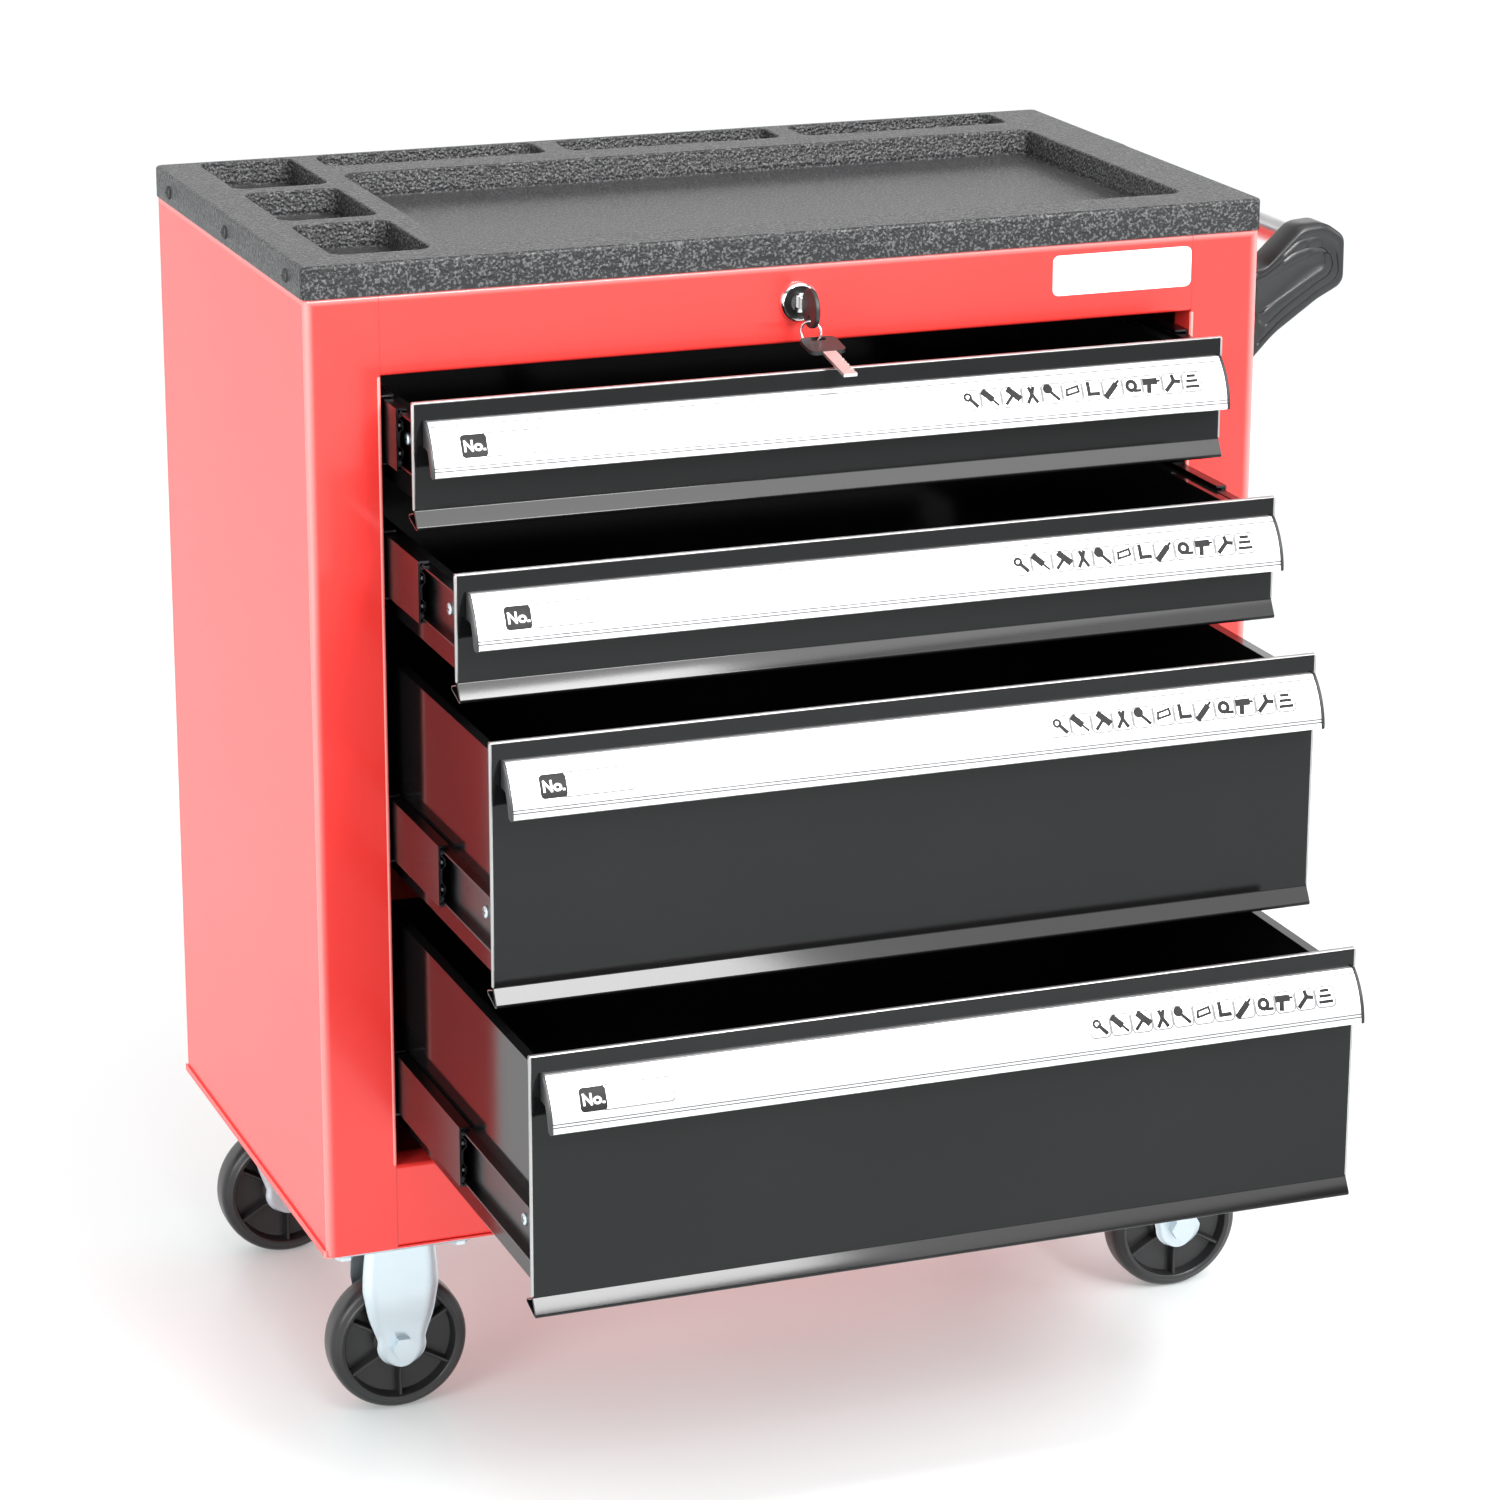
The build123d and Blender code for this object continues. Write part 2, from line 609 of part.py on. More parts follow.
# ---- label ------------------------------------------------------------------
def label_plate():
    """Blank plate at the right-hand end of the top rail."""
    outline = RectangleRounded(LABEL_W, LABEL_H, LABEL_R)
    plate = slab(outline, -LABEL_T, LABEL_T)
    return Pos(OPEN_HALF - LABEL_W / 2 - LABEL_END, 0, CAB_TOP - LABEL_DROP - LABEL_H / 2) * plate


# ---- casters ----------------------------------------------------------------
def caster_centres():
    """Caster centres: (name, x, y)."""
    places = []
    for end, y in CASTER_YS.items():
        places.append(("rigid_" + end, -WHEELBASE_HALF, y))
        places.append(("swivel_" + end, WHEELBASE_HALF, y))
    return places


def plate_holes():
    """Bolt holes from a caster plate's centre."""
    dx = PLATE_L / 2 - BOLT_INSET
    dy = PLATE_W / 2 - BOLT_INSET
    return [(sx * dx, sy * dy) for sx in (-1, 1) for sy in (-1, 1)]


def caster_bolt_places():
    return [(x + dx, y + dy) for _, x, y in caster_centres() for dx, dy in plate_holes()]


def caster_plate(x, y):
    plate = Pos(x, y, PLATE_BOTTOM) * extrude(RectangleRounded(PLATE_L, PLATE_W, PLATE_R), PLATE_T)
    for dx, dy in plate_holes():
        plate -= rod("z", BOLT_R + CLEAR, (x + dx, y + dy, PLATE_BOTTOM - 1), PLATE_T + 2)
    return plate


def fork_leg(top_z, axle_x, y0):
    """One side of a fork, from top_z down to the axle's eye, LEG_T thick from y0."""
    wide_z = top_z - LEG_WIDE_DROP
    share = LEG_WIDE_DROP / (top_z - AXLE_Z)
    wide_x = axle_x * share
    blade = Polygon((-LEG_TOP_W / 2, top_z), (LEG_TOP_W / 2, top_z), (wide_x + LEG_WIDE_W / 2, wide_z),
                    (wide_x - LEG_WIDE_W / 2, wide_z), align=None)
    eye = Pos(axle_x, AXLE_Z) * Circle(LEG_EYE_R)
    outline = make_hull(blade.edges() + eye.edges()) - Pos(axle_x, AXLE_Z) * Circle(AXLE_R)
    return slab(outline, y0, LEG_T)


def fork_legs(x, y, top_z, axle_x):
    return [Pos(x, y, 0) * fork_leg(top_z, axle_x, LEG_Y),
            Pos(x, y, 0) * fork_leg(top_z, axle_x, -LEG_Y - LEG_T)]


def rigid_fork(x, y):
    fork = caster_plate(x, y)
    for leg in fork_legs(x, y, PLATE_BOTTOM, 0):
        fork += leg
    return fork


def swivel_plate(x, y):
    """Top plate with the fixed half of the ball race pressed in it."""
    plate = caster_plate(x, y)
    plate += rod("z", RACE_R, (x, y, PLATE_BOTTOM - RACE_H), RACE_H)
    return plate - rod("z", KINGPIN_R, (x, y, PLATE_BOTTOM - RACE_H - 1), PLATE_T + RACE_H + 2)


def kingpin(x, y):
    """Riveted pin: fixed in the top plate, free in the fork's crown."""
    crown_low = PLATE_BOTTOM - RACE_H - CLEAR - CROWN_H
    pin = rod("z", KINGPIN_R, (x, y, crown_low - CLEAR), BASE - crown_low + CLEAR)
    head_z = crown_low - CLEAR - KINGPIN_HEAD
    return pin + rod("z", KINGPIN_R + KINGPIN_HEAD, (x, y, head_z), KINGPIN_HEAD)


def swivel_fork(x, y):
    """Crown, the turning half of the race, and two raked legs."""
    crown_top = PLATE_BOTTOM - RACE_H - CLEAR
    crown_low = crown_top - CROWN_H
    crown = rod("z", CROWN_R, (x, y, crown_low), CROWN_H)
    crown += block(x - LEG_TOP_W / 2, x + LEG_TOP_W / 2, y - LEG_Y - LEG_T, y + LEG_Y + LEG_T,
                   crown_low, crown_low + LEG_T)
    for leg in fork_legs(x, y, crown_low + LEG_T, TRAIL):
        crown += leg
    return crown - rod("z", KINGPIN_R + RUN_FIT, (x, y, crown_low - 1), CROWN_H + 2)


def axle(x, y):
    """Axle bolt along Y with its nut: head at the front, nut at the back."""
    front = y - LEG_Y - LEG_T
    rear = y + LEG_Y + LEG_T
    bolt = rod("y", AXLE_R, (x, front, AXLE_Z), rear - front + AXLE_HEAD_H + BOLT_END)
    bolt += hexagon("y", AXLE_AF, (x, front - AXLE_HEAD_H, AXLE_Z), AXLE_HEAD_H)
    nut = hexagon("y", AXLE_AF, (x, rear, AXLE_Z), AXLE_HEAD_H)
    return bolt + nut


def wheel(x, y):
    """Moulded wheel: crowned tread, raised rim ring, thin web, hub and six ribs."""
    half = WHEEL_W / 2
    ring_r = WHEEL_R - RIM_IN
    web_r = ring_r - RIM_WALL - 1
    crown_r = WHEEL_R - TREAD_EDGE / 5
    crown = half - TREAD_EDGE / 2
    tread = half - TREAD_EDGE
    bore = AXLE_R + RUN_FIT
    profile = Polyline((bore, -half), (HUB_R, -half), (HUB_R + 1, -WEB_HALF), (web_r, -WEB_HALF),
                       (ring_r - RIM_WALL, -half), (ring_r + 1.5, -half), (crown_r, -crown),
                       (WHEEL_R, -tread), (WHEEL_R, tread), (crown_r, crown), (ring_r + 1.5, half),
                       (ring_r - RIM_WALL, half), (web_r, WEB_HALF), (HUB_R + 1, WEB_HALF),
                       (HUB_R, half), (bore, half), close=True)
    body = revolve(Plane.XZ * make_face(profile), Axis.Z)
    rib = block(HUB_R - 1, ring_r - 1, -RIB_T / 2, RIB_T / 2, RIB_DROP - half, half - RIB_DROP)
    for i in range(6):
        body += Rot(0, 0, 60 * i + 30) * rib
    return Pos(x, y, AXLE_Z) * Rot(90, 0, 0) * body


def caster_bolts():
    """Sixteen bolts and nuts through the caster plates and the floor pan."""
    bolts = []
    for x, y in caster_bolt_places():
        bolt = rod("z", BOLT_R, (x, y, PLATE_BOTTOM - 1), PLATE_T + SHEET + BOLT_HEAD_H + BOLT_END)
        bolt += hexagon("z", BOLT_AF, (x, y, PLATE_BOTTOM - BOLT_HEAD_H), BOLT_HEAD_H)
        bolt += hexagon("z", BOLT_AF, (x, y, BASE + SHEET), BOLT_HEAD_H)
        bolts.append(bolt)
    return group(bolts)


# ---- side handle --------------------------------------------------------------
def bracket_fronts():
    return (BRACKET_EDGE, CAB_D - BRACKET_EDGE - BRACKET_T)


def bracket_root_top():
    return CAB_TOP - BRACKET_ROOT


def handle_bracket(y0, towards):
    """Moulded bracket on the right side; towards is +1 when its socket opens to the back."""
    x = HALF_W
    tube_z = CAB_TOP - TUBE_DROP
    root = bracket_root_top()
    outline = Polygon((x, root - BRACKET_ROOT_H), (x, root), (x + TUBE_OUT - 8, tube_z + 15.5),
                      (x + TUBE_OUT + 9, tube_z + 16.5), (x + BRACKET_OUT, tube_z + 5),
                      (x + BRACKET_OUT, tube_z - 23), (x + BRACKET_OUT - 12, tube_z - 33),
                      (x + 31, tube_z - 43), align=None)
    corners = [v for v in outline.vertices() if v.X > x + 1]
    outline = fillet(corners, BRACKET_EDGE_R)
    body = slab(outline, y0, BRACKET_T)
    seat = y0 + BRACKET_T - SOCKET if towards > 0 else y0
    body -= rod("y", TUBE_R + RUN_FIT, (x + TUBE_OUT, seat, tube_z), SOCKET)
    for y, z in bracket_screw_places():
        if y0 < y < y0 + BRACKET_T:
            body -= rod("x", SCREW_R, (x - 1, y, z), BRACKET_BORE)
    return body


def handle_tube():
    """Tube along the right side, seated in both brackets."""
    fronts = bracket_fronts()
    y0 = fronts[0] + BRACKET_T - SOCKET
    length = fronts[1] + SOCKET - y0
    place = (HALF_W + TUBE_OUT, y0, CAB_TOP - TUBE_DROP)
    return rod("y", TUBE_R, place, length) - rod("y", TUBE_R - TUBE_WALL, place, length)


# ---- lock ---------------------------------------------------------------------
def lock_body():
    """Barrel through the top rail with its bezel, bored for the plug."""
    bezel = rod("y", BEZEL_R, (0, -BEZEL_H, LOCK_Z), BEZEL_H)
    bezel = fillet(bezel.edges().group_by(Axis.Y)[0], BEZEL_EDGE)
    body = bezel + rod("y", BARREL_R, (0, 0, LOCK_Z), BARREL_L)
    return body - rod("y", PLUG_R + RUN_FIT, (0, -BEZEL_H - 1, LOCK_Z), BARREL_L + BEZEL_H + 2)


def lock_nut():
    """Nut that clamps the barrel from behind the rail."""
    return hexagon("y", NUT_AF, (0, SHEET, LOCK_Z), NUT_H) - rod("y", BARREL_R, (0, 0, LOCK_Z), NUT_H + 2)


def lock_plug():
    """Turning plug with the keyway."""
    plug = rod("y", PLUG_R, (0, -BEZEL_H, LOCK_Z), BEZEL_H + BARREL_L)
    way_x = KEY_T / 2 + KEY_FIT
    way_z = KEY_W / 2 + KEY_FIT
    end = -BEZEL_H + KEY_IN + 1
    return plug - block(-way_x, way_x, -BEZEL_H - 1, end, LOCK_Z - way_z, LOCK_Z + way_z)


def crank_pin_place():
    """Crank pin in the unlocked position, up and to the right of the rod."""
    step = CRANK_R * math.sin(math.radians(45))
    return step, LOCK_Z + step


def lock_rod():
    """Rod from the plug to the back, with a crank arm and pin for the lock bar."""
    end = BAR_Y - CRANK_GAP
    piece = rod("y", ROD_R, (0, BARREL_L, LOCK_Z), end - BARREL_L)
    pin_x, pin_z = crank_pin_place()
    arm = rod("y", CRANK_R + CRANK_RIM, (0, end - CRANK_T, LOCK_Z), CRANK_T)
    pin = rod("y", PIN_R, (pin_x, end, pin_z), BAR_T + PIN_END)
    return piece + arm + pin


def lock_bar():
    """Upright bar behind the drawers: a slotted head and one hook over each drawer."""
    pin_x, pin_z = crank_pin_place()
    top = pin_z + BAR_HEAD
    bottom = front_top(3) - BOX_TOP_DROP - BAR_TAIL
    bar = block(-BAR_W / 2, BAR_W / 2, BAR_Y, BAR_Y + BAR_T, bottom, top)
    slot_left = pin_x - PIN_R - 1
    slot_right = CRANK_R + PIN_R + 1
    play = PIN_R + PIN_PLAY
    bar -= block(slot_left, slot_right, BAR_Y - 1, BAR_Y + BAR_T + 1, pin_z - play, pin_z + play)
    for k in range(4):
        lip_z = front_top(k) - BOX_TOP_DROP + HOOK_UP
        tip = BOX_D - BOX_T - HOOK_IN
        roof = lip_z + HOOK_LIP
        bar += block(-HOOK_W / 2, HOOK_W / 2, tip, BAR_Y, roof, roof + BAR_T)
        bar += block(-HOOK_W / 2, HOOK_W / 2, tip, tip + BAR_T, lip_z, roof + BAR_T)
    return bar


def key_blade():
    """Blade of the key in the lock, its bitting cut along the lower edge."""
    front = -BEZEL_H - KEY_OUT
    blade = block(-KEY_T / 2, KEY_T / 2, front, -BEZEL_H + KEY_IN, LOCK_Z - KEY_W / 2, LOCK_Z + KEY_W / 2)
    for i in range(4):
        y = -BEZEL_H + BITE_PITCH * (i + 1)
        blade -= block(-KEY_T, KEY_T, y, y + BITE_W, LOCK_Z - KEY_W, LOCK_Z - KEY_W / 2 + 1 + i % 2)
    return blade


def key_bow_hole():
    """Centre of the hole in the key's bow: (y, z)."""
    return -BEZEL_H - KEY_OUT - BOW_R, LOCK_Z - BOW_R + BOW_HOLE_UP


def key_bow():
    """Round plastic bow moulded on the key's end, upright, with a hole near its edge."""
    y = -BEZEL_H - KEY_OUT - BOW_R
    bow = rod("x", BOW_R, (-BOW_T / 2, y, LOCK_Z), BOW_T)
    bow = fillet(bow.edges().filter_by(GeomType.CIRCLE), BOW_EDGE)
    hole_y, hole_z = key_bow_hole()
    return bow - rod("x", BOW_HOLE_R, (-BOW_T, hole_y, hole_z), 2 * BOW_T) - key_blade()


def ring_centre():
    """The ring hangs on the lower edge of the bow's hole, which it crosses aslant."""
    y, z = key_bow_hole()
    turn = math.radians(RING_TURN)
    along = BOW_T / 2 / math.cos(turn)
    sag = RING_R - math.sqrt(RING_R ** 2 - along ** 2)
    aside = min(abs(BOW_T / 2 * math.tan(turn)) + RING_WIRE, BOW_HOLE_R)
    rise = BOW_HOLE_R - math.sqrt(BOW_HOLE_R ** 2 - aside ** 2)
    return Vector(0, y, z - BOW_HOLE_R + RING_WIRE + sag + rise - RING_R)


def key_ring():
    """Split ring that hangs through the key's bow."""
    return Pos(*ring_centre()) * Rot(0, 0, RING_TURN) * Rot(90, 0, 0) * Torus(RING_R, RING_WIRE)


def spare_hole():
    """Where the ring goes through the spare key's slot, on the ring's lower front."""
    across = RING_R * math.sqrt(0.5)
    turn = math.radians(RING_TURN)
    return ring_centre() + Vector(across * math.cos(turn), across * math.sin(turn), -across)


def spare_place():
    """The spare key leans forwards, just clear of the top drawer front that runs out below it."""
    hole = spare_hole()
    drop = hole.Z - front_top(0) - KEY_T / 2 - CLEAR
    slant = math.degrees(math.asin(drop / SPARE_REACH))
    return Pos(*hole) * Rot(slant - 90, 0, 0)


def spare_key_bow():
    """Square plastic bow of the spare key, with its slot."""
    middle = SPARE_SLOT_IN - SPARE_H / 2
    head = extrude(Plane.XZ * RectangleRounded(SPARE_W, SPARE_H, SPARE_CORNER), SPARE_T / 2, both=True)
    slot = extrude(Plane.XZ * SlotOverall(SPARE_SLOT_L, SPARE_SLOT_W), SPARE_T, both=True)
    return spare_place() * (Pos(0, 0, middle) * head - slot - spare_blank())


def spare_blank():
    """The spare key's blade before its bitting is cut, from inside the bow to the tip."""
    inside = SPARE_SLOT_IN - SPARE_H + SPARE_ROOT
    return block(-SPARE_KEY_W / 2, SPARE_KEY_W / 2, -KEY_T / 2, KEY_T / 2, -SPARE_REACH, inside)


def spare_key_blade():
    """Blade of the spare key, its bitting along one edge."""
    blade = spare_blank()
    edge = SPARE_KEY_W / 2
    for i in range(6):
        z = -SPARE_REACH + 3 + BITE_PITCH * i
        blade -= block(edge - 1 - i % 2, SPARE_KEY_W, -KEY_T, KEY_T, z, z + BITE_W)
    return spare_place() * blade


# ---- write every piece ----------------------------------------------------------
def cabinet():
    write("side_panel_left", side_panel())
    write("side_panel_right", right_side_panel())
    write("top_rail", top_rail())
    write("bottom_rail", bottom_rail())
    write("back_panel", back_panel())
    write("bottom_panel", bottom_panel())
    write("top_panel", top_panel())
    write("worktop_tray", worktop_tray())
    write("panel_screws", panel_screws())
    write("slide_uprights", slide_uprights())
    write("slide_outer_members", slide_outer_members())
    write("label_plate", label_plate())


def drawers():
    for k in range(4):
        name = "drawer_" + str(k + 1)
        out = Pos(0, -OPENINGS[k], 0)
        half_out = Pos(0, -OPENINGS[k] / 2, 0)
        write(name + "_front", out * drawer_front(k))
        write(name + "_box", out * drawer_box(k))
        write(name + "_pull", out * drawer_pull(k))
        write(name + "_slide_inner", out * slide_inner(k))
        write(name + "_slide_mid", half_out * slide_mid(k))


def casters():
    axles = []
    pins = []
    for name, x, y in caster_centres():
        if name.startswith("rigid"):
            write(name + "_fork", rigid_fork(x, y))
            write(name + "_wheel", wheel(x, y))
            axles.append(axle(x, y))
        else:
            write(name + "_plate", swivel_plate(x, y))
            write(name + "_fork", swivel_fork(x, y))
            write(name + "_axle", axle(x + TRAIL, y))
            write(name + "_wheel", wheel(x + TRAIL, y))
            pins.append(kingpin(x, y))
    write("rigid_axles", group(axles))
    write("kingpins", group(pins))
    write("caster_bolts", caster_bolts())


def handle():
    fronts = bracket_fronts()
    write("handle_bracket_front", handle_bracket(fronts[0], 1))
    write("handle_bracket_rear", handle_bracket(fronts[1], -1))
    write("handle_tube", handle_tube())


def lock():
    write("lock_body", lock_body())
    write("lock_nut", lock_nut())
    write("lock_plug", lock_plug())
    write("lock_rod", lock_rod())
    write("lock_bar", lock_bar())
    write("key_blade", key_blade())
    write("key_bow", key_bow())
    write("key_ring", key_ring())
    write("spare_key_bow", spare_key_bow())
    write("spare_key_blade", spare_key_blade())


cabinet()
drawers()
casters()
handle()
lock()
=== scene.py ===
import math
import bmesh
import bpy
from mathutils import Matrix, Vector


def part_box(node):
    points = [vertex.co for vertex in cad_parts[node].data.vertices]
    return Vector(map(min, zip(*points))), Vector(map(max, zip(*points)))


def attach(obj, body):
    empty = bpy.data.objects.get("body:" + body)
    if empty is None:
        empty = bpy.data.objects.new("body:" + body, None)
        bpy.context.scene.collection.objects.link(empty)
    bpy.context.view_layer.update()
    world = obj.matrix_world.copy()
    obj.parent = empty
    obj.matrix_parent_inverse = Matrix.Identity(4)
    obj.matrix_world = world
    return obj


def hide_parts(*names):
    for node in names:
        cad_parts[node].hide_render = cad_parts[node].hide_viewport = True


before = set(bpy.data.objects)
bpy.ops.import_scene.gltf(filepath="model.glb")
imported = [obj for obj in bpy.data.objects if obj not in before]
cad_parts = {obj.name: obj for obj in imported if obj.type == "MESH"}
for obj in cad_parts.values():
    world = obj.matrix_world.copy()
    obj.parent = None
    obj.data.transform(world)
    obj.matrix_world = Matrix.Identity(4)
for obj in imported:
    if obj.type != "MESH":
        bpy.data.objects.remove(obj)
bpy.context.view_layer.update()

# A four-drawer rolling tool box in red and black. The scene is in metres, +Z up. Lengths written
# as numbers are in millimetres and go through mm(), except where the camera and the lights stand.


def mm(value):
    return value / 1000


def around(radius, count):
    """Points of a circle about the origin, evenly spaced."""
    turns = [2 * math.pi * i / count for i in range(count)]
    return [(radius * math.cos(turn), radius * math.sin(turn)) for turn in turns]


# ---- where the cabinet stands --------------------------------------------------
DRAWERS = ("drawer_1", "drawer_2", "drawer_3", "drawer_4")
left_low, left_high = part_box("side_panel_left")
right_low, right_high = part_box("side_panel_right")
MIDDLE_X = (left_low.x + right_high.x) / 2
FACE_Y = left_low.y
SIDE_X = right_high.x
HALF_W = SIDE_X - MIDDLE_X
POST_EDGE = abs(left_high.x - MIDDLE_X)
tray_low, tray_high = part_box("worktop_tray")
rail_low, rail_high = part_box("top_rail")


# ---- shader expressions --------------------------------------------------------
class Tone:
    """A number from a shader socket; arithmetic on it adds Math nodes."""

    def __init__(self, finish, socket):
        self.finish = finish
        self.socket = socket

    def maths(self, operation, *values):
        settings = {"operation": operation}
        return self.finish.node("ShaderNodeMath", settings, dict(enumerate(values)))

    def __add__(self, other):
        return self.maths("ADD", self, other)

    def __radd__(self, other):
        return self.maths("ADD", other, self)

    def __sub__(self, other):
        return self.maths("SUBTRACT", self, other)

    def __rsub__(self, other):
        return self.maths("SUBTRACT", other, self)

    def __mul__(self, other):
        return self.maths("MULTIPLY", self, other)

    def __rmul__(self, other):
        return self.maths("MULTIPLY", other, self)

    def __gt__(self, other):
        return self.maths("GREATER_THAN", self, other)

    def __lt__(self, other):
        return self.maths("LESS_THAN", self, other)

    def __abs__(self):
        return self.maths("ABSOLUTE", self)

    def larger(self, other):
        return self.maths("MAXIMUM", self, other)


class Nodes:
    """The node tree of a material or of the world."""

    def __init__(self, owner):
        owner.use_nodes = True
        self.tree = owner.node_tree

    def node(self, kind, settings, inputs, output=0):
        """A new node: its settings first, then values or links on its sockets."""
        made = self.tree.nodes.new(kind)
        for name, value in settings.items():
            if name == "stops":
                stops = made.color_ramp.elements
                while len(stops) < len(value):
                    stops.new(1.0)
                for stop, (position, shade) in zip(stops, value):
                    stop.position = position
                    stop.color = (shade, shade, shade, 1)
            else:
                setattr(made, name, value)
        for key, value in inputs.items():
            if isinstance(value, Tone):
                self.tree.links.new(value.socket, made.inputs[key])
            else:
                made.inputs[key].default_value = value
        return Tone(self, made.outputs[output])


class Finish(Nodes):
    """A material for one of the tool box's finishes."""

    def __init__(self, name, **fixed):
        self.material = bpy.data.materials.new(name)
        super().__init__(self.material)
        self.shader = self.tree.nodes["Principled BSDF"]
        for socket, value in fixed.items():
            self.shader.inputs[socket.replace("_", " ")].default_value = value
        self.place = self.node("ShaderNodeTexCoord", {}, {}, "Object")

    def stretched(self, x, y, z):
        """The place on the object, scaled along each axis."""
        settings = {"operation": "MULTIPLY"}
        return self.node("ShaderNodeVectorMath", settings, {0: self.place, 1: (x, y, z)})

    def along(self, axis):
        """The place on the object along one axis."""
        return self.node("ShaderNodeSeparateXYZ", {}, {0: self.place}, axis)

    def noise(self, size, detail=3.0, place=None):
        """Soft cloudy variation, 0 to 1; size is the width of one cloud in millimetres."""
        inputs = {"Vector": place or self.place, "Scale": 1000 / size, "Detail": detail}
        return self.node("ShaderNodeTexNoise", {}, inputs, "Fac")

    def cells(self, size):
        """Rounded pebbles; size is the width of one pebble in millimetres."""
        inputs = {"Vector": self.place, "Scale": 1000 / size, "Randomness": 1.0}
        return self.node("ShaderNodeTexVoronoi", {"feature": "SMOOTH_F1"}, inputs, "Distance")

    def range(self, value, low, high, to_low=0.0, to_high=1.0):
        """A smooth step of value between low and high."""
        inputs = {"Value": value, "From Min": low, "From Max": high, "To Min": to_low, "To Max": to_high}
        return self.node("ShaderNodeMapRange", {"interpolation_type": "SMOOTHSTEP"}, inputs)

    def mixed(self, share, one, other):
        """Between two colours, which may be tuples or sockets."""
        inputs = {0: share}
        for key, colour in ((6, one), (7, other)):
            inputs[key] = colour if isinstance(colour, Tone) else (*colour, 1)
        return self.node("ShaderNodeMix", {"data_type": "RGBA"}, inputs, 2)

    def colour(self, tone):
        self.tree.links.new(tone.socket, self.shader.inputs["Base Color"])

    def roughness(self, tone):
        self.tree.links.new(tone.socket, self.shader.inputs["Roughness"])

    def relief(self, height, depth, strength=1.0):
        """Raise the surface by height times depth, in millimetres."""
        inputs = {"Strength": strength, "Distance": mm(depth), "Height": height}
        bump = self.node("ShaderNodeBump", {}, inputs)
        self.tree.links.new(bump.socket, self.shader.inputs["Normal"])


def band(tone, centre, half_width):
    """1 within half_width of centre, else 0."""
    return abs(tone - centre) < half_width


# ---- finishes ------------------------------------------------------------------
SEAM_HALF = 0.45          # half the joint line between post and rail
BEND_HIGHLIGHT_SHARE = 0.42         # how strong the painted highlight over a bend is
POST_BEND = (6.5, 0.8)    # the cabinet's upright bends, from its sides
RAIL_BEND = (5.0, 0.8)    # the top rail's bend, from its top


def red_paint():
    """Red coat with joint lines on the posts, and paler bands over the bends as a painted highlight."""
    finish = Finish("red_powder_coat", IOR=1.45, Coat_Weight=0.22, Coat_Roughness=0.08)
    cloud = finish.noise(160, 2)
    speck = finish.noise(1.4, 2)
    x = finish.along("X") - MIDDLE_X
    z = finish.along("Z")
    y = finish.along("Y")
    seam = band(abs(x), POST_EDGE, mm(SEAM_HALF)) * (y < FACE_Y + mm(1))
    above = z > rail_low.z
    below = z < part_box("bottom_rail")[1].z
    seam = seam * above.larger(below)
    body = finish.mixed(cloud, (0.80, 0.034, 0.029), (0.86, 0.044, 0.038))
    front = y < FACE_Y + mm(3)
    # painted highlight: the coat is paler over the posts' upright bends and the top rail's bend
    upright = finish.range(abs(x), HALF_W - mm(POST_BEND[0]), HALF_W - mm(POST_BEND[1])) * front
    top = finish.range(z, rail_high.z - mm(RAIL_BEND[0]), rail_high.z - mm(RAIL_BEND[1]))
    body = finish.mixed(upright.larger(top) * BEND_HIGHLIGHT_SHARE, body, (0.94, 0.52, 0.50))
    finish.colour(finish.mixed(seam * 0.5, body, (0.42, 0.02, 0.02)))
    finish.roughness(0.24 + 0.04 * speck)
    finish.relief(speck * 0.12 - seam, 0.06, 0.5)
    return finish.material


def drawer_paint():
    finish = Finish("black_gloss_paint", IOR=1.33)
    cloud = finish.noise(120, 3)
    peel = finish.noise(2.2, 2)
    finish.colour(finish.mixed(cloud, (0.004, 0.004, 0.0044), (0.007, 0.007, 0.0074)))
    finish.roughness(0.07 + 0.05 * cloud)
    finish.relief(peel, 0.006, 0.35)
    return finish.material


def tray_plastic():
    """Pebbled black plastic with pale speckles in its colour as painted glints; the grain is finer on the
    pockets' floors.
    """
    finish = Finish("pebbled_black_plastic", IOR=1.47)
    pebble = finish.cells(1.9)
    fine = finish.noise(0.7, 3)
    cloud = finish.noise(90, 2)
    z = finish.along("Z")
    wall = finish.range(z, tray_low.z + mm(4.5), tray_low.z + mm(7))
    # painted highlight: pale speckles in the colour stand in for glints off the grain
    painted_glints = finish.range(finish.noise(1.5, 1), 0.50, 0.66)
    body = finish.mixed(cloud, (0.007, 0.007, 0.008), (0.012, 0.012, 0.013))
    finish.colour(finish.mixed(painted_glints * 0.8, body, (0.115, 0.115, 0.118)))
    finish.roughness(0.27 + 0.20 * fine)
    finish.relief((pebble + 0.35 * fine) * (0.30 + 0.70 * wall), 0.7, 1.0)
    return finish.material


def pull_aluminium():
    finish = Finish("satin_aluminium", Metallic=0.9)
    streak = finish.noise(1.0, 4, finish.stretched(0.01, 1.0, 1.0))
    cloud = finish.noise(60, 2)
    finish.colour(finish.mixed(streak, (0.93, 0.935, 0.94), (0.98, 0.98, 0.985)))
    finish.roughness(0.30 + 0.08 * streak + 0.05 * cloud)
    finish.relief(streak, 0.01, 0.3)
    return finish.material


def bright_metal(name, light, dark, rough, streak_size=0.6, stretch=(1, 1, 1)):
    """Plated or polished metal with fine working marks along one axis."""
    finish = Finish(name, Metallic=1.0)
    streak = finish.noise(streak_size, 4, finish.stretched(*stretch))
    cloud = finish.noise(25, 3)
    finish.colour(finish.mixed(cloud * 0.6 + streak * 0.4, dark, light))
    finish.roughness(rough + 0.1 * streak + 0.06 * cloud)
    finish.relief(streak, 0.01, 0.4)
    return finish.material


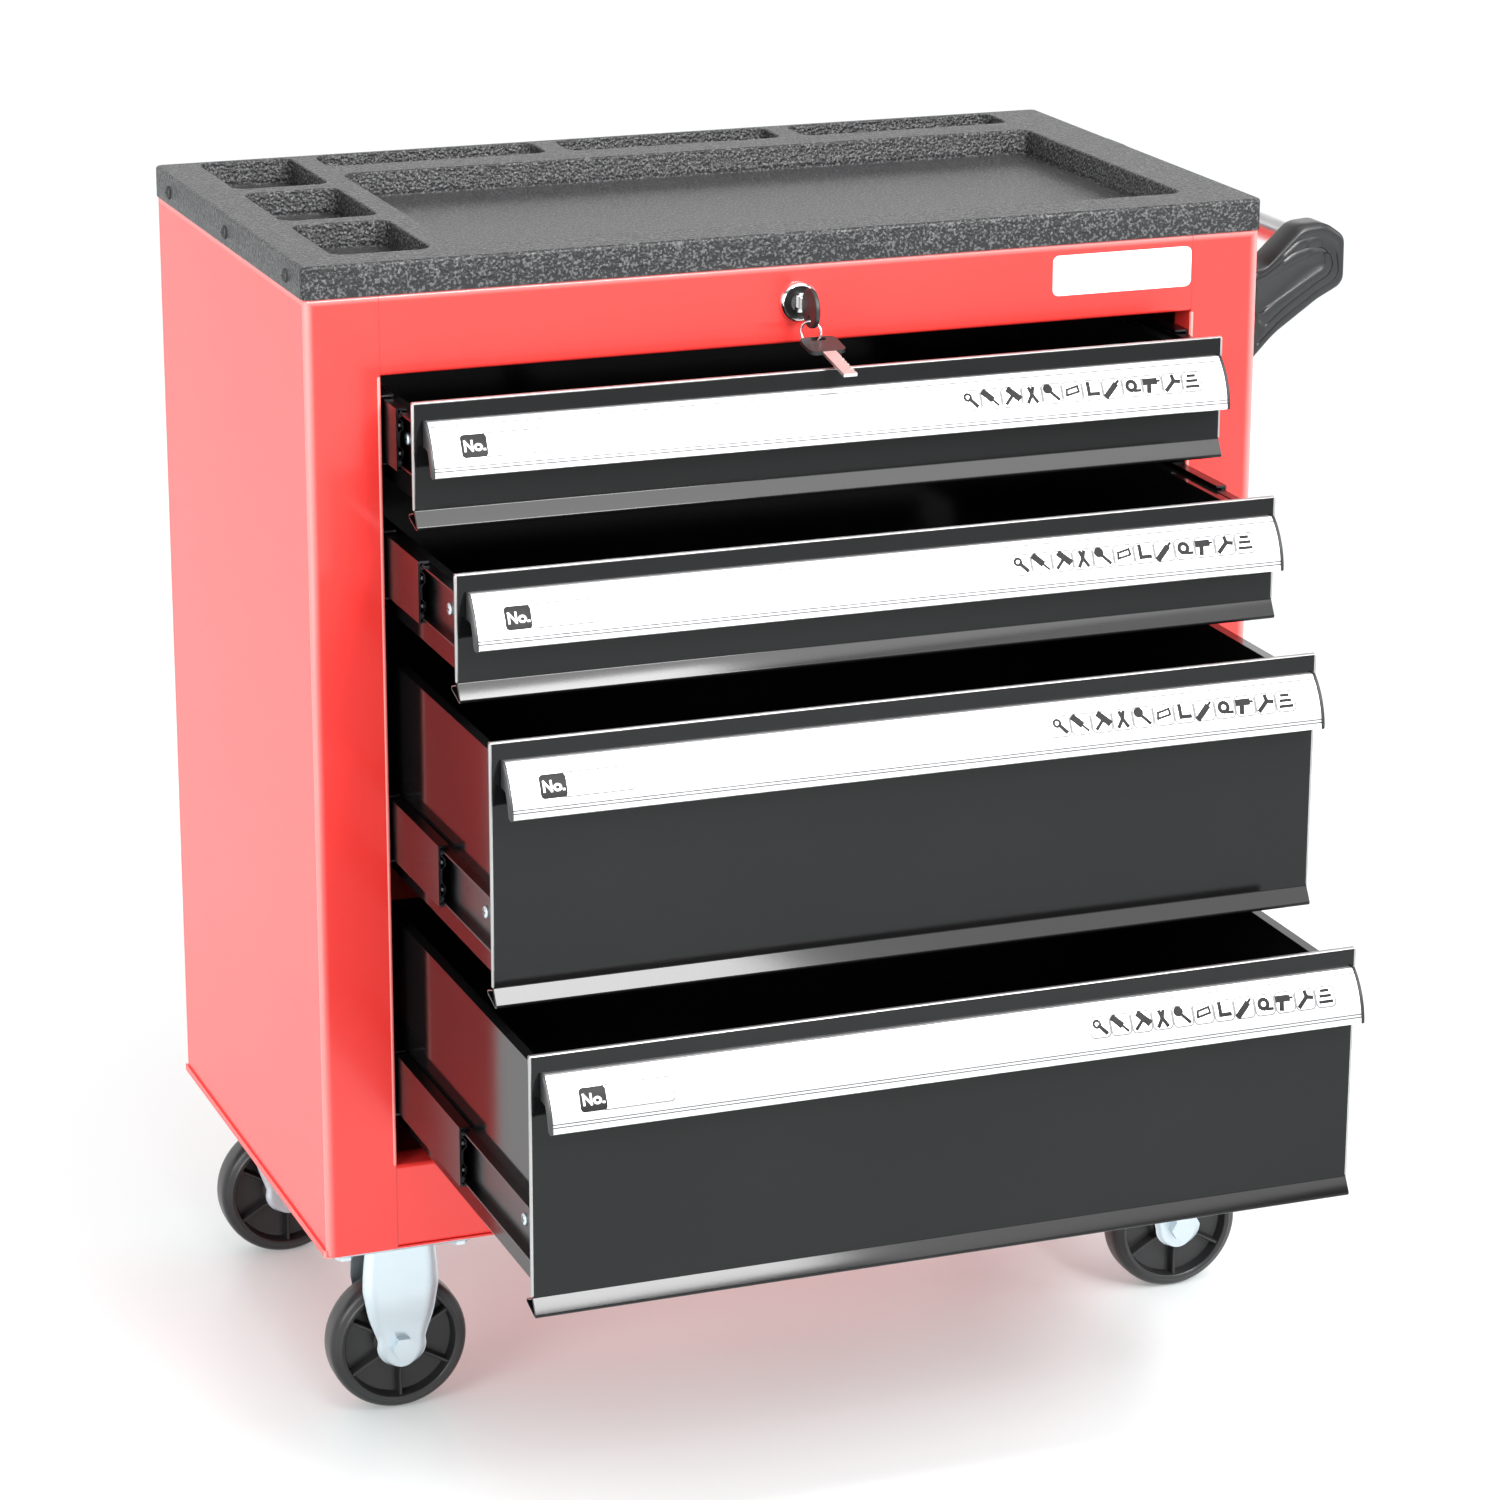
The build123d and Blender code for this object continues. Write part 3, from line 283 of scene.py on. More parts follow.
def moulded_plastic(name, light, dark, rough, grain):
    finish = Finish(name, IOR=1.48)
    fine = finish.noise(grain, 3)
    cloud = finish.noise(30, 3)
    finish.colour(finish.mixed(cloud, dark, light))
    finish.roughness(rough + 0.12 * fine)
    finish.relief(fine, 0.03, 0.5)
    return finish.material


def printed(name, shade, other, gloss=0.5):
    finish = Finish(name, IOR=1.45, Specular_IOR_Level=gloss)
    cloud = finish.noise(6, 3)
    finish.colour(finish.mixed(cloud, shade, other))
    finish.roughness(0.35 + 0.15 * cloud)
    return finish.material


def floor_paint():
    finish = Finish("pale_floor", IOR=1.4, Emission_Color=(1, 1, 1, 1), Emission_Strength=0.22)
    cloud = finish.noise(900, 2)
    finish.colour(finish.mixed(cloud, (0.57, 0.61, 0.61), (0.59, 0.63, 0.63)))
    finish.roughness(0.35 + 0.05 * cloud)
    return finish.material


PAINT = red_paint()
BLACK = drawer_paint()
ABS = tray_plastic()
ALUMINIUM = pull_aluminium()
ZINC = bright_metal("bright_zinc", (0.66, 0.73, 0.77), (0.54, 0.62, 0.67), 0.28, 0.8)
SLIDE = bright_metal("black_slide_steel", (0.075, 0.075, 0.08), (0.04, 0.04, 0.043), 0.22, 0.7,
                     (1, 0.03, 1))
BRUSHED = bright_metal("brushed_tube", (0.90, 0.90, 0.91), (0.82, 0.82, 0.83), 0.24, 0.5,
                       (1, 0.02, 1))
CHROME = bright_metal("chrome", (0.86, 0.86, 0.87), (0.76, 0.76, 0.77), 0.05, 1.2)
KEY_STEEL = bright_metal("nickel_key", (0.80, 0.79, 0.77), (0.68, 0.67, 0.65), 0.34, 0.4,
                         (1, 1, 0.1))
DARK_STEEL = bright_metal("black_oxide_screw", (0.10, 0.10, 0.10), (0.06, 0.06, 0.06), 0.3, 0.5)
NYLON = moulded_plastic("black_nylon_wheel", (0.020, 0.020, 0.021), (0.012, 0.012, 0.013), 0.26, 0.9)
BRACKET_PLASTIC = moulded_plastic("grey_bracket_plastic", (0.016, 0.016, 0.017),
                                  (0.011, 0.011, 0.012), 0.24, 0.5)
KEY_PLASTIC = moulded_plastic("black_key_plastic", (0.016, 0.016, 0.017), (0.010, 0.010, 0.011),
                              0.36, 0.4)
CAP_PLASTIC = moulded_plastic("dark_end_cap", (0.035, 0.035, 0.037), (0.024, 0.024, 0.026), 0.28, 0.5)
# painted highlight: a pale metal on the drawer fronts' hem fold, sheet ends and rolled upright edges
EDGE_HIGHLIGHT_METAL = bright_metal("painted_edge_highlight", (0.50, 0.49, 0.49), (0.36, 0.35, 0.35), 0.3, 1.5,
                          (1, 1, 0.1))
# painted highlight: a paler red for the rolled inner edges of the front posts
RED_EDGE_HIGHLIGHT = moulded_plastic("painted_red_edge_highlight", (0.88, 0.30, 0.27), (0.84, 0.24, 0.21), 0.2, 1.4)
WHITE_LABEL = printed("white_label", (0.93, 0.93, 0.93), (0.96, 0.96, 0.96))
BLACK_INK = printed("black_ink", (0.008, 0.008, 0.008), (0.012, 0.012, 0.012), 0.2)
GREY_INK = printed("grey_ink", (0.16, 0.16, 0.165), (0.21, 0.21, 0.215), 0.2)
# painted shade: a darker grey for the pull's grooves and its back
PULL_PAINTED_SHADE = bright_metal("painted_shade_on_pull", (0.24, 0.24, 0.25), (0.18, 0.18, 0.19), 0.4)

NODE_FINISHES = {
    PAINT: ("side_panel_left", "side_panel_right", "top_rail", "bottom_rail", "bottom_panel",
            "back_panel", "top_panel"),
    ABS: ("worktop_tray",),
    WHITE_LABEL: ("label_plate",),
    ZINC: ("caster_bolts", "kingpins", "rigid_axles", "swivel_front_axle", "swivel_rear_axle",
           "rigid_front_fork", "rigid_rear_fork", "swivel_front_fork", "swivel_rear_fork",
           "swivel_front_plate", "swivel_rear_plate", "lock_rod", "lock_bar", "lock_nut"),
    NYLON: ("rigid_front_wheel", "rigid_rear_wheel", "swivel_front_wheel", "swivel_rear_wheel"),
    BRACKET_PLASTIC: ("handle_bracket_front", "handle_bracket_rear"),
    BRUSHED: ("handle_tube",),
    CHROME: ("lock_body", "lock_plug", "key_ring"),
    KEY_STEEL: ("key_blade", "spare_key_blade"),
    KEY_PLASTIC: ("key_bow", "spare_key_bow"),
    DARK_STEEL: ("panel_screws",),
    SLIDE: ("slide_outer_members", "slide_uprights"),
}


def paint_node(name, material):
    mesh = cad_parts[name].data
    mesh.materials.clear()
    mesh.materials.append(material)


def paint_nodes():
    for material, names in NODE_FINISHES.items():
        for name in names:
            paint_node(name, material)
    for drawer in DRAWERS:
        for part, material in (("_front", BLACK), ("_box", BLACK), ("_slide_inner", SLIDE),
                               ("_slide_mid", SLIDE), ("_pull", ALUMINIUM)):
            paint_node(drawer + part, material)


# ---- camera, lights and floor --------------------------------------------------
EYE = (-1.0594, -2.6505, 1.2925)
EYE_YAW = -0.365
EYE_PITCH = -0.304
EYE_ROLL = -0.003
LENS = 114.39
SENSOR = 36
FAR_CLIP = 60

# Sky brightness by height, from straight down to straight up: a white horizon, a dim band where
# the softboxes stand, and a bright ceiling.
SKY_STRENGTH = 2.1
SKY_STOPS = ((0.0, 0.45), (0.50, 0.45), (0.60, 0.60), (0.64, 0.95), (0.68, 0.55), (0.72, 0.13),
             (0.82, 0.13), (0.90, 0.80), (1.0, 0.85))

# Name, where it stands, what it faces, width, height and power.
SOFTBOXES = (
    ("key_softbox", (0.46, -2.15, 1.70), (0, -0.2, 0.3), 0.52, 0.70, 40),
    ("upper_softbox", (0.95, -2.15, 2.50), (0.1, -0.2, 0.6), 1.3, 0.62, 24),
    ("low_softbox", (1.12, -2.15, 1.70), (0, -0.2, 0.3), 0.76, 0.70, 8),
    ("overhead_softbox", (0.1, -1.35, 2.7), (0, -0.1, 0.5), 1.7, 0.28, 30),
    ("side_softbox", (-2.3, -1.5, 1.3), (0, 0, 0.4), 1.2, 1.5, 34),
    ("right_softbox", (2.2, -1.0, 1.6), (0, 0, 0.5), 0.8, 1.2, 12),
)
FLOOR_REACH = 12


def camera():
    lens = bpy.data.cameras.new("view")
    lens.lens = LENS
    lens.sensor_width = SENSOR
    lens.clip_end = FAR_CLIP
    eye = bpy.data.objects.new("view", lens)
    turn = (Matrix.Rotation(EYE_YAW, 4, "Z") @ Matrix.Rotation(EYE_PITCH, 4, "X")
            @ Matrix.Rotation(EYE_ROLL, 4, "Y") @ Matrix.Rotation(math.pi / 2, 4, "X"))
    eye.matrix_world = Matrix.Translation(EYE) @ turn
    bpy.context.scene.collection.objects.link(eye)
    bpy.context.scene.camera = eye


def softbox(name, place, target, width, height, power):
    lamp = bpy.data.lights.new(name, "AREA")
    lamp.shape = "RECTANGLE"
    lamp.size = width
    lamp.size_y = height
    lamp.energy = power
    box = bpy.data.objects.new(name, lamp)
    box.location = place
    box.rotation_euler = (Vector(target) - Vector(place)).to_track_quat("-Z", "Y").to_euler()
    bpy.context.scene.collection.objects.link(box)


def studio():
    world = bpy.data.worlds.new("studio")
    sky = Nodes(world)
    direction = sky.node("ShaderNodeTexCoord", {}, {}, "Generated")
    height = sky.node("ShaderNodeSeparateXYZ", {}, {0: direction}, "Z")
    level = sky.node("ShaderNodeMapRange", {}, {"Value": height, "From Min": -1})
    shade = sky.node("ShaderNodeValToRGB", {"stops": SKY_STOPS}, {0: level})
    background = sky.tree.nodes["Background"]
    sky.tree.links.new(shade.socket, background.inputs["Color"])
    background.inputs["Strength"].default_value = SKY_STRENGTH
    bpy.context.scene.world = world
    for one in SOFTBOXES:
        softbox(*one)
    bpy.context.scene.view_settings.view_transform = "Standard"


def studio_floor():
    shape = bmesh.new()
    bmesh.ops.create_grid(shape, x_segments=2, y_segments=2, size=FLOOR_REACH)
    mesh = bpy.data.meshes.new("floor")
    shape.to_mesh(mesh)
    shape.free()
    floor = bpy.data.objects.new("floor", mesh)
    mesh.materials.append(floor_paint())
    bpy.context.scene.collection.objects.link(floor)


# ---- making pieces -------------------------------------------------------------
def piece(name, shape, body, material, smooth=30):
    """Finish a bmesh as a named piece that rides on a body."""
    bmesh.ops.remove_doubles(shape, verts=shape.verts, dist=1e-6)
    bmesh.ops.recalc_face_normals(shape, faces=shape.faces)
    mesh = bpy.data.meshes.new(name)
    shape.to_mesh(mesh)
    shape.free()
    made = bpy.data.objects.new(name, mesh)
    bpy.context.scene.collection.objects.link(made)
    materials = material if isinstance(material, tuple) else (material,)
    for one in materials:
        mesh.materials.append(one)
    if smooth:
        mesh.shade_smooth()
        mesh.set_sharp_from_angle(angle=math.radians(smooth))
    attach(made, body)
    return made


def skin(shape, rings, closed=True, caps=True, material=0):
    """Join rings of points with quads; each ring closes on itself when closed."""
    rows = [[shape.verts.new(point) for point in ring] for ring in rings]
    count = len(rows[0])
    steps = count if closed else count - 1
    for near_row, far_row in zip(rows, rows[1:]):
        for i in range(steps):
            j = (i + 1) % count
            shape.faces.new((near_row[i], near_row[j], far_row[j], far_row[i])).material_index = material
    if caps:
        shape.faces.new(rows[0]).material_index = material
        shape.faces.new(reversed(rows[-1])).material_index = material
    return rows


def circle_through(one, two, three):
    """Centre and radius of the circle through three points."""
    (x1, y1), (x2, y2), (x3, y3) = one, two, three
    cross = 2 * (x1 * (y2 - y3) + x2 * (y3 - y1) + x3 * (y1 - y2))
    s1, s2, s3 = x1 * x1 + y1 * y1, x2 * x2 + y2 * y2, x3 * x3 + y3 * y3
    cx = (s1 * (y2 - y3) + s2 * (y3 - y1) + s3 * (y1 - y2)) / cross
    cy = (s1 * (x3 - x2) + s2 * (x1 - x3) + s3 * (x2 - x1)) / cross
    return cx, cy, math.hypot(x1 - cx, y1 - cy)


STROKE_STEP = 2.5         # longest straight run of a line on the curved pull
PRINT_SINK = 0.1          # how far a print's underside lies in the pull


def stroke(shape, points, width, lift, place, material=0):
    """A raised line of one width through points (x, s); place turns (x, s, lift) into a point."""
    for (x0, s0), (x1, s1) in zip(points, points[1:]):
        length = math.hypot(x1 - x0, s1 - s0)
        steps = max(1, math.ceil(length / STROKE_STEP))
        ux, us = (x1 - x0) / length, (s1 - s0) / length
        rings = []
        for i in range(steps + 1):
            run = length * i / steps
            if i == 0:
                run = -width / 2
            if i == steps:
                run = length + width / 2
            cx, cs = x0 + ux * run, s0 + us * run
            side_x, side_s = -us * width / 2, ux * width / 2
            near, far = (cx - side_x, cs - side_s), (cx + side_x, cs + side_s)
            rings.append([place(*near, lift), place(*far, lift),
                          place(*far, -PRINT_SINK), place(*near, -PRINT_SINK)])
        skin(shape, rings, material=material)


def patch(shape, x0, x1, s0, s1, radius, lift, place):
    """A raised rectangle with rounded corners, x0 to x1 by s0 to s1."""
    rows = []
    for i in range(7):
        turn = math.pi / 2 * i / 6
        rows.append((s0 + radius * (1 - math.cos(turn)), radius * (1 - math.sin(turn))))
    span = s1 - s0 - 2 * radius
    rows += [(s0 + radius + span * i / 5, 0) for i in range(1, 5)]
    rows += [(s0 + s1 - s, inset) for s, inset in reversed(rows[:7])]
    rings = [[place(x0 + inset, s, lift), place(x1 - inset, s, lift),
              place(x1 - inset, s, -PRINT_SINK), place(x0 + inset, s, -PRINT_SINK)]
             for s, inset in rows]
    skin(shape, rings)


def rounded_frame(x0, x1, s0, s1, radius):
    """Points round a rounded rectangle, closed."""
    points = []
    corners = ((x1 - radius, s0 + radius, -90), (x1 - radius, s1 - radius, 0),
               (x0 + radius, s1 - radius, 90), (x0 + radius, s0 + radius, 180))
    for cx, cs, start in corners:
        for i in range(5):
            turn = math.radians(start + 22.5 * i)
            points.append((cx + radius * math.cos(turn), cs + radius * math.sin(turn)))
    return points + points[:1]


def circle(cx, cy, radius, count=14):
    """Points round a circle, its first one repeated at the end."""
    turns = [2 * math.pi * i / count for i in range(count + 1)]
    return [(cx + radius * math.cos(turn), cy + radius * math.sin(turn)) for turn in turns]


# ---- drawer pulls --------------------------------------------------------------
PULL_TOP_FLAT = 3.0
PULL_DEPTH = 17.5
PULL_HEIGHT = 29.5
PULL_SHEET = 1.8
FOOT_HEIGHT = 12.5
GROOVE_DEPTH = 0.45
GROOVE_HALF = 0.38
TOP_GROOVE = 3.4
LOW_GROOVES = (5.2, 3.4)  # from the pull's lower edge
CAP_THICK = 2.0
PULL_ARC = circle_through((-PULL_TOP_FLAT, 0), (-0.745 * PULL_DEPTH, -0.46 * PULL_HEIGHT),
                          (-PULL_DEPTH, -PULL_HEIGHT))
ARC_START = math.atan2(-PULL_ARC[1], -PULL_TOP_FLAT - PULL_ARC[0])
ARC_END = math.atan2(-PULL_HEIGHT - PULL_ARC[1], -PULL_DEPTH - PULL_ARC[0]) % (2 * math.pi)
ARC_LENGTH = (ARC_END - ARC_START) * PULL_ARC[2]


def on_arc(run, lift=0.0):
    """(y, z) at a distance run down the pull's face from its top flat, raised by lift."""
    turn = ARC_START + run / PULL_ARC[2]
    reach = PULL_ARC[2] + lift
    return PULL_ARC[0] + reach * math.cos(turn), PULL_ARC[1] + reach * math.sin(turn)


def pull_section():
    """Outline of the extrusion, with one groove near the top and two near its lower edge."""
    grooves = (TOP_GROOVE, *(ARC_LENGTH - up for up in LOW_GROOVES))
    runs = [(ARC_LENGTH * i / 30, 0) for i in range(31)]
    runs = [one for one in runs if all(abs(one[0] - groove) > GROOVE_HALF * 1.5 for groove in grooves)]
    for groove in grooves:
        runs += [(groove - GROOVE_HALF, 0), (groove - GROOVE_HALF / 3, -GROOVE_DEPTH),
                 (groove + GROOVE_HALF / 3, -GROOVE_DEPTH), (groove + GROOVE_HALF, 0)]
    runs.sort()
    points = [(0, 0)] + [on_arc(run, lift) for run, lift in runs]
    inner = [on_arc(ARC_LENGTH * i / 24, -PULL_SHEET) for i in range(24, 0, -1)]
    points += [on_arc(ARC_LENGTH + 0.5, -0.5), on_arc(ARC_LENGTH + 0.5, -PULL_SHEET + 0.5)] + inner
    points += [(-PULL_TOP_FLAT, -PULL_SHEET - 0.9), (-PULL_SHEET, -PULL_SHEET - 1.2),
               (-PULL_SHEET, -FOOT_HEIGHT + 0.5), (-PULL_SHEET + 0.5, -FOOT_HEIGHT), (0, -FOOT_HEIGHT)]
    sunk = [i + 1 for i, (run, lift) in enumerate(runs) if lift < 0]
    behind = range(len(runs) + 2, len(points))
    return points, sunk, behind


def pull_extrusion(drawer):
    """Curved aluminium pull; its grooves and its back take a darker grey as painted shade."""
    low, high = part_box(drawer + "_pull")
    shape = bmesh.new()
    ends = ((low.x, 0.25), (low.x + mm(0.25), 0.0), (high.x - mm(0.25), 0.0), (high.x, 0.25))
    rings = []
    section, sunk, behind = pull_section()
    for x, shrink in ends:
        rings.append([Vector((x, high.y + mm(y + shrink * (y < -1)), high.z + mm(z - shrink * (z > -1))))
                      for y, z in section])
    rows = skin(shape, rings)
    in_groove = {row[i] for row in rows for i in sunk}
    at_back = {row[i] for row in rows for i in behind}
    # painted shade: the grooves and the back of the pull take the darker grey
    for face in shape.faces:
        grooved = len(face.verts) == 4 and any(vert in in_groove for vert in face.verts)
        if grooved or all(vert in at_back for vert in face.verts):
            face.material_index = 1
    finishes = (ALUMINIUM, PULL_PAINTED_SHADE)
    made = piece(drawer + "_pull_extrusion", shape, drawer, finishes, 35)
    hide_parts(drawer + "_pull")


def end_cap(drawer, side, x0, x1, finish):
    """Thin plastic plate that closes the pull's end, standing a little proud of its face."""
    low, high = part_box(drawer + "_pull")
    outline = [(0, 0.4), (-PULL_TOP_FLAT, 0.4)]
    outline += [on_arc(ARC_LENGTH * i / 20, 0.45) for i in range(1, 20)]
    for past, lift in ((0.4, 0.3), (0.9, -0.6), (0.4, -3.0)):
        outline.append(on_arc(ARC_LENGTH + past, lift))
    for share in (0.9, 0.8, 0.7, 0.6, 0.5):
        outline.append(on_arc(ARC_LENGTH * share, -3.4 - 2.2 * (1 - share)))
    outline += [(-2.6, -FOOT_HEIGHT - 2.0), (-0.6, -FOOT_HEIGHT - 2.6), (0, -FOOT_HEIGHT - 2.2)]
    middle_y = sum(y for y, z in outline) / len(outline)
    middle_z = sum(z for y, z in outline) / len(outline)
    rings = []
    width = x1 - x0
    for share, shrink in ((0, 0.10), (0.12, 0.03), (0.3, 0), (0.7, 0), (0.88, 0.03), (1, 0.10)):
        x = x0 + width * share
        rings.append([Vector((x, high.y + mm(min(0, y + (middle_y - y) * shrink)),
                              high.z + mm(z + (middle_z - z) * shrink))) for y, z in outline])
    shape = bmesh.new()
    skin(shape, rings)
    piece(drawer + "_end_cap_" + side, shape, drawer, finish, 40)


# Tool outlines for the label: lines in a unit square, each with its relative width.
TOOL_SIGNS = (
    ((circle(0.36, 0.66, 0.16), 0.8), (((0.48, 0.54), (0.78, 0.22)), 1.3)),
    ((((0.20, 0.80), (0.46, 0.54)), 2.2), (((0.46, 0.54), (0.82, 0.18)), 0.8)),
    ((((0.22, 0.20), (0.60, 0.62)), 1.1), (((0.44, 0.82), (0.82, 0.46)), 2.2)),
    ((((0.28, 0.18), (0.50, 0.54), (0.60, 0.84)), 1.2),
     (((0.72, 0.18), (0.50, 0.54), (0.40, 0.84)), 1.2)),
    ((circle(0.30, 0.74, 0.10), 1.6), (((0.36, 0.66), (0.80, 0.20)), 1.1)),
    ((((0.18, 0.34), (0.22, 0.62), (0.80, 0.76), (0.84, 0.48), (0.18, 0.34)), 0.8),),
    ((((0.30, 0.84), (0.30, 0.30), (0.78, 0.30)), 1.3),),
    ((((0.18, 0.18), (0.62, 0.62)), 2.0), (((0.62, 0.62), (0.84, 0.84)), 0.9)),
    ((circle(0.44, 0.54, 0.22), 1.2), (((0.62, 0.28), (0.86, 0.28)), 1.0)),
    ((((0.18, 0.68), (0.62, 0.68)), 2.2), (((0.62, 0.68), (0.88, 0.68)), 0.8),
     (((0.34, 0.62), (0.28, 0.22)), 1.6)),
    ((((0.18, 0.20), (0.60, 0.62)), 1.4), (((0.54, 0.84), (0.58, 0.60), (0.84, 0.56)), 1.3)),
    ((((0.34, 0.80), (0.66, 0.80)), 1.0), (((0.26, 0.54), (0.74, 0.54)), 1.0),
     (((0.20, 0.26), (0.80, 0.26)), 1.0)),
)
NUMBER_STROKES = (
    ((0.15, 0.30), (0.15, 0.70), (0.42, 0.30), (0.42, 0.70)),
    circle(0.65, 0.425, 0.115),
    ((0.865, 0.32), (0.885, 0.32)),
)
SIGN_SIZE = 12.4
SIGN_PITCH = 13.3
SIGN_END = 16.0
SIGN_TOP = 9.0
SIGN_CORNER = 2.6
SIGN_WEIGHT = 1.9         # width of a sign's line in millimetres for a relative width of 1
FRAME_LINE = 1.0
FRAME_LIFT = 0.08
SIGN_LIFT = 0.14
SQUARE_LIFT = 0.10
NUMBER_LIFT = 0.16
NUMBER_LINE = 1.25
NUMBER_START = 17.0
NUMBER_W = 16.0
NUMBER_H = 14.0
NUMBER_TOP = 9.6
NUMBER_CORNER = 2.5
WINDOW_W = 40.0
WINDOW_LAP = 3.0          # how far the window runs under the number square


def drawer_labels(drawer):
    """Number square with its blank window, and a row of tool signs, printed on the pull."""
    low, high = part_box(drawer + "_pull")

    def place(x, run, lift):
        y, z = on_arc(run, lift)
        return Vector((low.x + mm(x), high.y + mm(y), high.z + mm(z)))

    width = (high.x - low.x) * 1000
    number = bmesh.new()
    bottom = NUMBER_TOP + NUMBER_H
    patch(number, NUMBER_START, NUMBER_START + NUMBER_W, NUMBER_TOP, bottom, NUMBER_CORNER,
          SQUARE_LIFT, place)
    for points in NUMBER_STROKES:
        line = [(NUMBER_START + x * NUMBER_W, NUMBER_TOP + (1 - y) * NUMBER_H) for x, y in points]
        stroke(number, line, NUMBER_LINE, NUMBER_LIFT, place, 1)
    piece(drawer + "_number_square", number, drawer, (BLACK_INK, WHITE_LABEL), 0)
    window = bmesh.new()
    left, right = NUMBER_START + NUMBER_W - WINDOW_LAP, NUMBER_START + NUMBER_W + WINDOW_W
    outline = rounded_frame(left, right, NUMBER_TOP, bottom, NUMBER_CORNER)
    stroke(window, outline, FRAME_LINE, FRAME_LIFT, place)
    piece(drawer + "_number_window", window, drawer, GREY_INK, 0)
    signs = bmesh.new()
    first = width - SIGN_END - SIGN_PITCH * (len(TOOL_SIGNS) - 1) - SIGN_SIZE
    for i, sign in enumerate(TOOL_SIGNS):
        x0 = first + i * SIGN_PITCH
        outline = rounded_frame(x0, x0 + SIGN_SIZE, SIGN_TOP, SIGN_TOP + SIGN_SIZE, SIGN_CORNER)
        stroke(signs, outline, FRAME_LINE, FRAME_LIFT, place, 1)
        for points, thick in sign:
            line = [(x0 + x * SIGN_SIZE, SIGN_TOP + (1 - y) * SIGN_SIZE) for x, y in points]
            stroke(signs, line, thick * SIGN_WEIGHT, SIGN_LIFT, place)
    piece(drawer + "_tool_signs", signs, drawer, (BLACK_INK, GREY_INK), 0)


def pulls():
    for drawer in DRAWERS:
        low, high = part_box(drawer + "_pull")
        pull_extrusion(drawer)
        end_cap(drawer, "left", low.x - mm(CAP_THICK), low.x, CAP_PLASTIC)
        end_cap(drawer, "right", high.x, high.x + mm(CAP_THICK), KEY_PLASTIC)
        drawer_labels(drawer)


# ---- drawer fronts -------------------------------------------------------------
FRONT_SHEET = 1.0
FRONT_FOLD = 1.6
EDGE_ROLL = 1.1
EDGE_PROUD = 0.12         # how far the upright edges stand ahead of the front
LIP_HEIGHT = 11.12
HEM_HIGHLIGHT = (13, 26)     # points round the hem's front fold that take the painted highlight
ROLL_DOME = ((0.0, 0.3), (0.4, 0.8), (1.1, 1.0))    # (distance from the end, share of the radius)
# Places along a front's length, in from either end, and how thin the sheet is pressed there.
FRONT_STATIONS = ((0.7, 0.35), (1.0, 0), (2.0, 0))


def sheet_section(corners, radius, thickness):
    """The two faces of a sheet folded along corners (y, z), its thickness to their left."""
    outer, inner = [], []
    for i, corner in enumerate(corners):
        here = Vector(corner)
        if 0 < i < len(corners) - 1:
            back = (Vector(corners[i - 1]) - here).normalized()
            ahead = (Vector(corners[i + 1]) - here).normalized()
            half = back.angle(ahead) / 2
            centre = here + (back + ahead).normalized() * (radius / math.sin(half))
            start = here + back * (radius / math.tan(half)) - centre
            end = here + ahead * (radius / math.tan(half)) - centre
            swing = math.atan2(start.x * end.y - start.y * end.x, start.dot(end))
            share = 1 - math.copysign(thickness / radius, swing)
            for step in range(15):
                arm = Matrix.Rotation(swing * step / 14, 2) @ start
                outer.append(centre + arm)
                inner.append(centre + arm * share)
        else:
            run = Vector(corners[1]) - here if i == 0 else here - Vector(corners[i - 1])
            outer.append(here)
            inner.append(here + Vector((-run.y, run.x)).normalized() * thickness)
    return outer, inner


def rolled_edge(shape, x, y, z0, z1, radius, material=0):
    """An upright round edge from z0 to z1, its ends domed."""
    levels = [(z0 + mm(run), share) for run, share in ROLL_DOME]
    levels += [(z1 - mm(run), share) for run, share in reversed(ROLL_DOME)]
    rings = [[Vector((x + mm(a), y + mm(b), z)) for a, b in around(radius * share, 20)]
             for z, share in levels]
    skin(shape, rings, material=material)


def folded_front(drawer):
    """Drawer front with its hem, its folded lip and its rolled upright edges."""
    low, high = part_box(drawer + "_front")
    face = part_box(drawer + "_pull")[1].y
    tall = (high.z - low.z) * 1000 - LIP_HEIGHT
    corners = ((4, -6), (4, 0), (0, 0), (0, -tall), (-7, -tall - 12), (15, -tall - 5.5),
               (2.3, -tall - 1.3))
    outer, inner = sheet_section(corners, FRONT_FOLD, FRONT_SHEET)
    shape = bmesh.new()
    rings = []
    stations = [(low.x + mm(run), thin) for run, thin in FRONT_STATIONS]
    stations += [(high.x - mm(run), thin) for run, thin in reversed(FRONT_STATIONS)]
    for x, thin in stations:
        ring = [one.lerp(other, thin) for one, other in zip(outer, inner)]
        ring += [other.lerp(one, thin) for one, other in reversed(list(zip(outer, inner)))]
        rings.append([Vector((x, face + mm(p.x), high.z + mm(p.y))) for p in ring])
    rows = skin(shape, rings)
    # painted highlight: the hem's front fold, the sheet's ends and the rolled upright edges take the pale
    # metal
    hem = {row[i] for row in rows for i in range(HEM_HIGHLIGHT[0], HEM_HIGHLIGHT[1])}
    for side in shape.faces:
        if len(side.verts) > 4 or all(vert in hem for vert in side.verts):
            side.material_index = 1
    for x in (low.x + mm(EDGE_ROLL), high.x - mm(EDGE_ROLL)):
        rolled_edge(shape, x, face + mm(EDGE_ROLL - EDGE_PROUD), high.z - mm(tall), high.z - mm(0.5),
                    EDGE_ROLL, 1)
    made = piece(drawer + "_folded_front", shape, drawer, (BLACK, EDGE_HIGHLIGHT_METAL), 32)
    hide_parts(drawer + "_front")


def drawer_fronts():
    for drawer in DRAWERS:
        folded_front(drawer)


# ---- edges of the opening ------------------------------------------------------
POST_ROLL = 1.3
POST_ROLL_IN = 1.0


